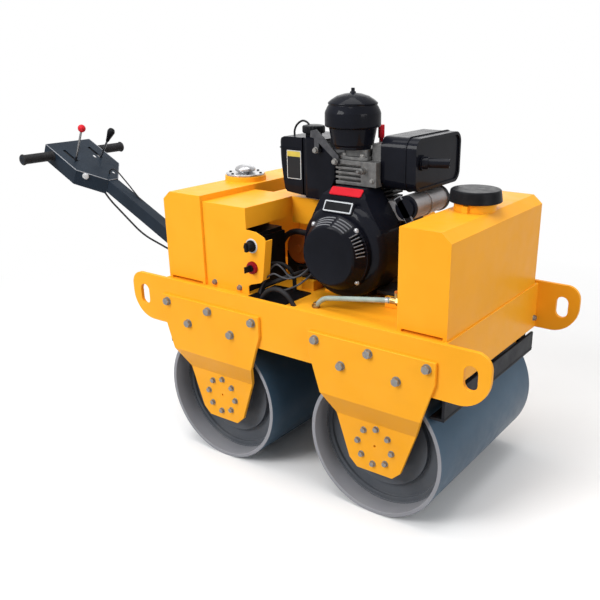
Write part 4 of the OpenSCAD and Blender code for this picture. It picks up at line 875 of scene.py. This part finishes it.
print("drum skins")
skin = {"outer": 212.5, "inner": 200.5, "half": 300.0, "round": 1.8, "guard": 1.0, "steps": 6, "count": 480}
arcSteps = np.radians(np.linspace(0, 90, skin["steps"]))
farR, nearR, endY = skin["outer"] - skin["round"], skin["inner"] + skin["round"], skin["half"] - skin["round"]
corners = []
for turn, r, y in ((0, farR, endY), (90, nearR, endY), (180, nearR, -endY), (270, farR, -endY)):
    t = math.radians(turn) + arcSteps
    arc = np.stack([r + skin["round"] * np.cos(t), y + skin["round"] * np.sin(t)], axis=1)
    ahead = np.array([math.sin(t[0]), -math.cos(t[0])]) * skin["guard"]
    after = np.array([-math.sin(t[-1]), math.cos(t[-1])]) * skin["guard"]
    corners += [arc[:1] + ahead, arc, arc[-1:] + after]
loop = np.concatenate(corners) / 1000    # wall section of the shell, rounded at its four corners
about = np.linspace(0, 2 * math.pi, skin["count"], endpoint=False)[:, None]
wall = np.stack([loop[:, 0] * np.cos(about), loop[:, 1] + 0 * about, loop[:, 0] * np.sin(about)], axis=-1)
for label, axle in axles.items():
    name = "drum_skin_" + label
    verts = wall + onFrame((axle, 0, place["axleZ"]))    # section carried round the axle: r cos, y, r sin
    mesh = makeMesh(name, verts, loopFaces(1, skin["count"], len(loop)), [])
    obj = addPiece(name, mesh, finishes[label + "Shell"], label + "_drum", sharp=50)
    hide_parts(label + "_drum_shell")


print("louvre bars")
ringBeads("recoil_rim", [[engine["x"], recoil["rimY"], engine["crankZ"]]], recoil["rimR"], "frame", "engine",
          form=dict(bead, radius=recoil["rim"], ripple=0.0))
louvre = {"rows": 4, "rowSpan": (0.02, 0.98), "sectors": ((54, 80), (86, 118)), "outer": (100.5, -216.5),
          "inner": (85.5, -243.5), "bar": 1.9, "barSteps": 24, "teeth": 7, "toothFrom": 5, "toothStep": 6,
          "toothReach": 0.85, "tooth": 1.6, "toothSteps": 10, "count": 10}


def onCone(angle, down):    # a place on the cone of the starter cover: angle round it, share of the way out
    r, y = (a + (b - a) * down for a, b in zip(louvre["outer"], louvre["inner"]))
    x, z = engine["x"] + r * np.cos(angle), engine["crankZ"] + r * np.sin(angle)
    return onFrame(np.stack([x, y + 0 * angle, z], axis=-1))


# the bars and teeth are grey for a painted highlight on the black cover
bars = [tubeRings(onCone(np.radians(np.linspace(low, high, louvre["barSteps"])), down), louvre["bar"] / 1000,
                  louvre["count"])
        for low, high in louvre["sectors"] for down in np.linspace(*louvre["rowSpan"], louvre["rows"])]
stackPiece("louvre_bars", bars, finishes["bar"], "frame")
reach = np.linspace(0.0, louvre["toothReach"], louvre["toothSteps"])
toothAngles = np.radians(louvre["toothFrom"] + louvre["toothStep"] * np.arange(louvre["teeth"]))
teeth = [tubeRings(onCone(angle + 0 * reach, reach), louvre["tooth"] / 1000, louvre["count"])
         for angle in toothAngles]
stackPiece("louvre_teeth", teeth, finishes["bar"], "frame")


print("console edge")
rim = {"rear": -864, "side": 98, "slope": -680, "tip": -589, "tipHalf": 21, "top": 26.4, "radius": 1.5,
       "step": 6.0, "count": 10}
corners = [(rim["rear"], -rim["side"]), (rim["slope"], -rim["side"]), (rim["tip"], -rim["tipHalf"]),
           (rim["tip"], rim["tipHalf"]), (rim["slope"], rim["side"]), (rim["rear"], rim["side"])]
# thin light grey tube round the console top: worn paint and a painted highlight on the edge
edgeLine = evenSteps(np.array([[x, y, rim["top"]] for x, y in corners], float), rim["step"])
edgeRings = tubeRings(onHandle(edgeLine), rim["radius"] / 1000, rim["count"])
stackPiece("console_edge", edgeRings, finishes["edgeWearAndHighlight"], "handle")
onTop = {"body": "handle", "side": handleWay((1, 0, 0)), "up": (0, 1, 0)}
slotBoot = {"x": -772, "z": 21, "size": (92, 20, 4, 1.0), "border": 2.0}    # rubber under each lever slot
for side, sign in sides.items():
    boot = dict(slotBoot, at=(slotBoot["x"], sign * place["leverY"], slotBoot["z"]))
    blankPlate("slot_boot_" + side, boot, finishes["rubber"], "black_rubber", **onTop)
# two small white plates on the console top
whiteMarks = {"mid": {"at": (-746, 34, 27), "size": (16, 5, 1.5, 0.8), "border": 0.6},
        "front": {"at": (-628, 31, 27), "size": (12, 5, 1.5, 0.8), "border": 0.6}}
for label, whiteMark in whiteMarks.items():
    blankPlate("console_white_mark_" + label, whiteMark, whiteMarkFinish, "console_paint", **onTop)


print("hose ends and clamps")
hoseFoot = {"at": (68.2, -262, place["deckTop"]), "count": 36, "hexed": (1, 1, 1, 0, 0, 0),
            "rows": [(10.5, -1), (10.5, 7), (9.5, 8.5), (8.0, 9), (8.0, 14), (7.0, 15)]}
turnedPiece("hose_foot", hoseFoot, (0, 0, 1), "brass")
hoseEnd, hoseNext = np.array(cordRuns["water_hose"]["points"][:2], float)
hoseWay = unit(hoseNext - hoseEnd)
clamp = {"back": 9, "rows": [(7.4, 0), (8.6, 0.3), (8.6, 8.7), (7.4, 9.0)], "count": 40}
turnedPiece("hose_clamp", dict(clamp, at=hoseEnd + clamp["back"] * hoseWay), hoseWay, "chrome")
valveNut = {"at": (335, -262, 637), "rows": [(9.5, -6), (10.5, -5), (10.5, 5), (9.5, 6)], "count": 36,
            "hexed": (1, 1, 1, 1)}
turnedPiece("valve_nut", valveNut, (1, 0, 0), "brass")
stemCap = {"at": (327.5, -262, 656), "rows": [(5.2, 0), (5.6, 1), (5.6, 7), (4.4, 8.4)], "count": 36,
           "lobes": {"rows": (0, 1, 1, 0), "count": 6, "depth": 0.12}}
turnedPiece("valve_stem_cap", stemCap, (0, 0, 1), "rust")
button = {"at": (-651, -76, 15), "rows": [(11.5, -1), (11.5, 3.0), (10.0, 5.6), (5.5, 6.8)], "count": 40,
          "way": (0.627, -0.779, 0)}
turnedPiece("console_button", button, handleWay(button["way"]), "bezel", "handle")


print("done")
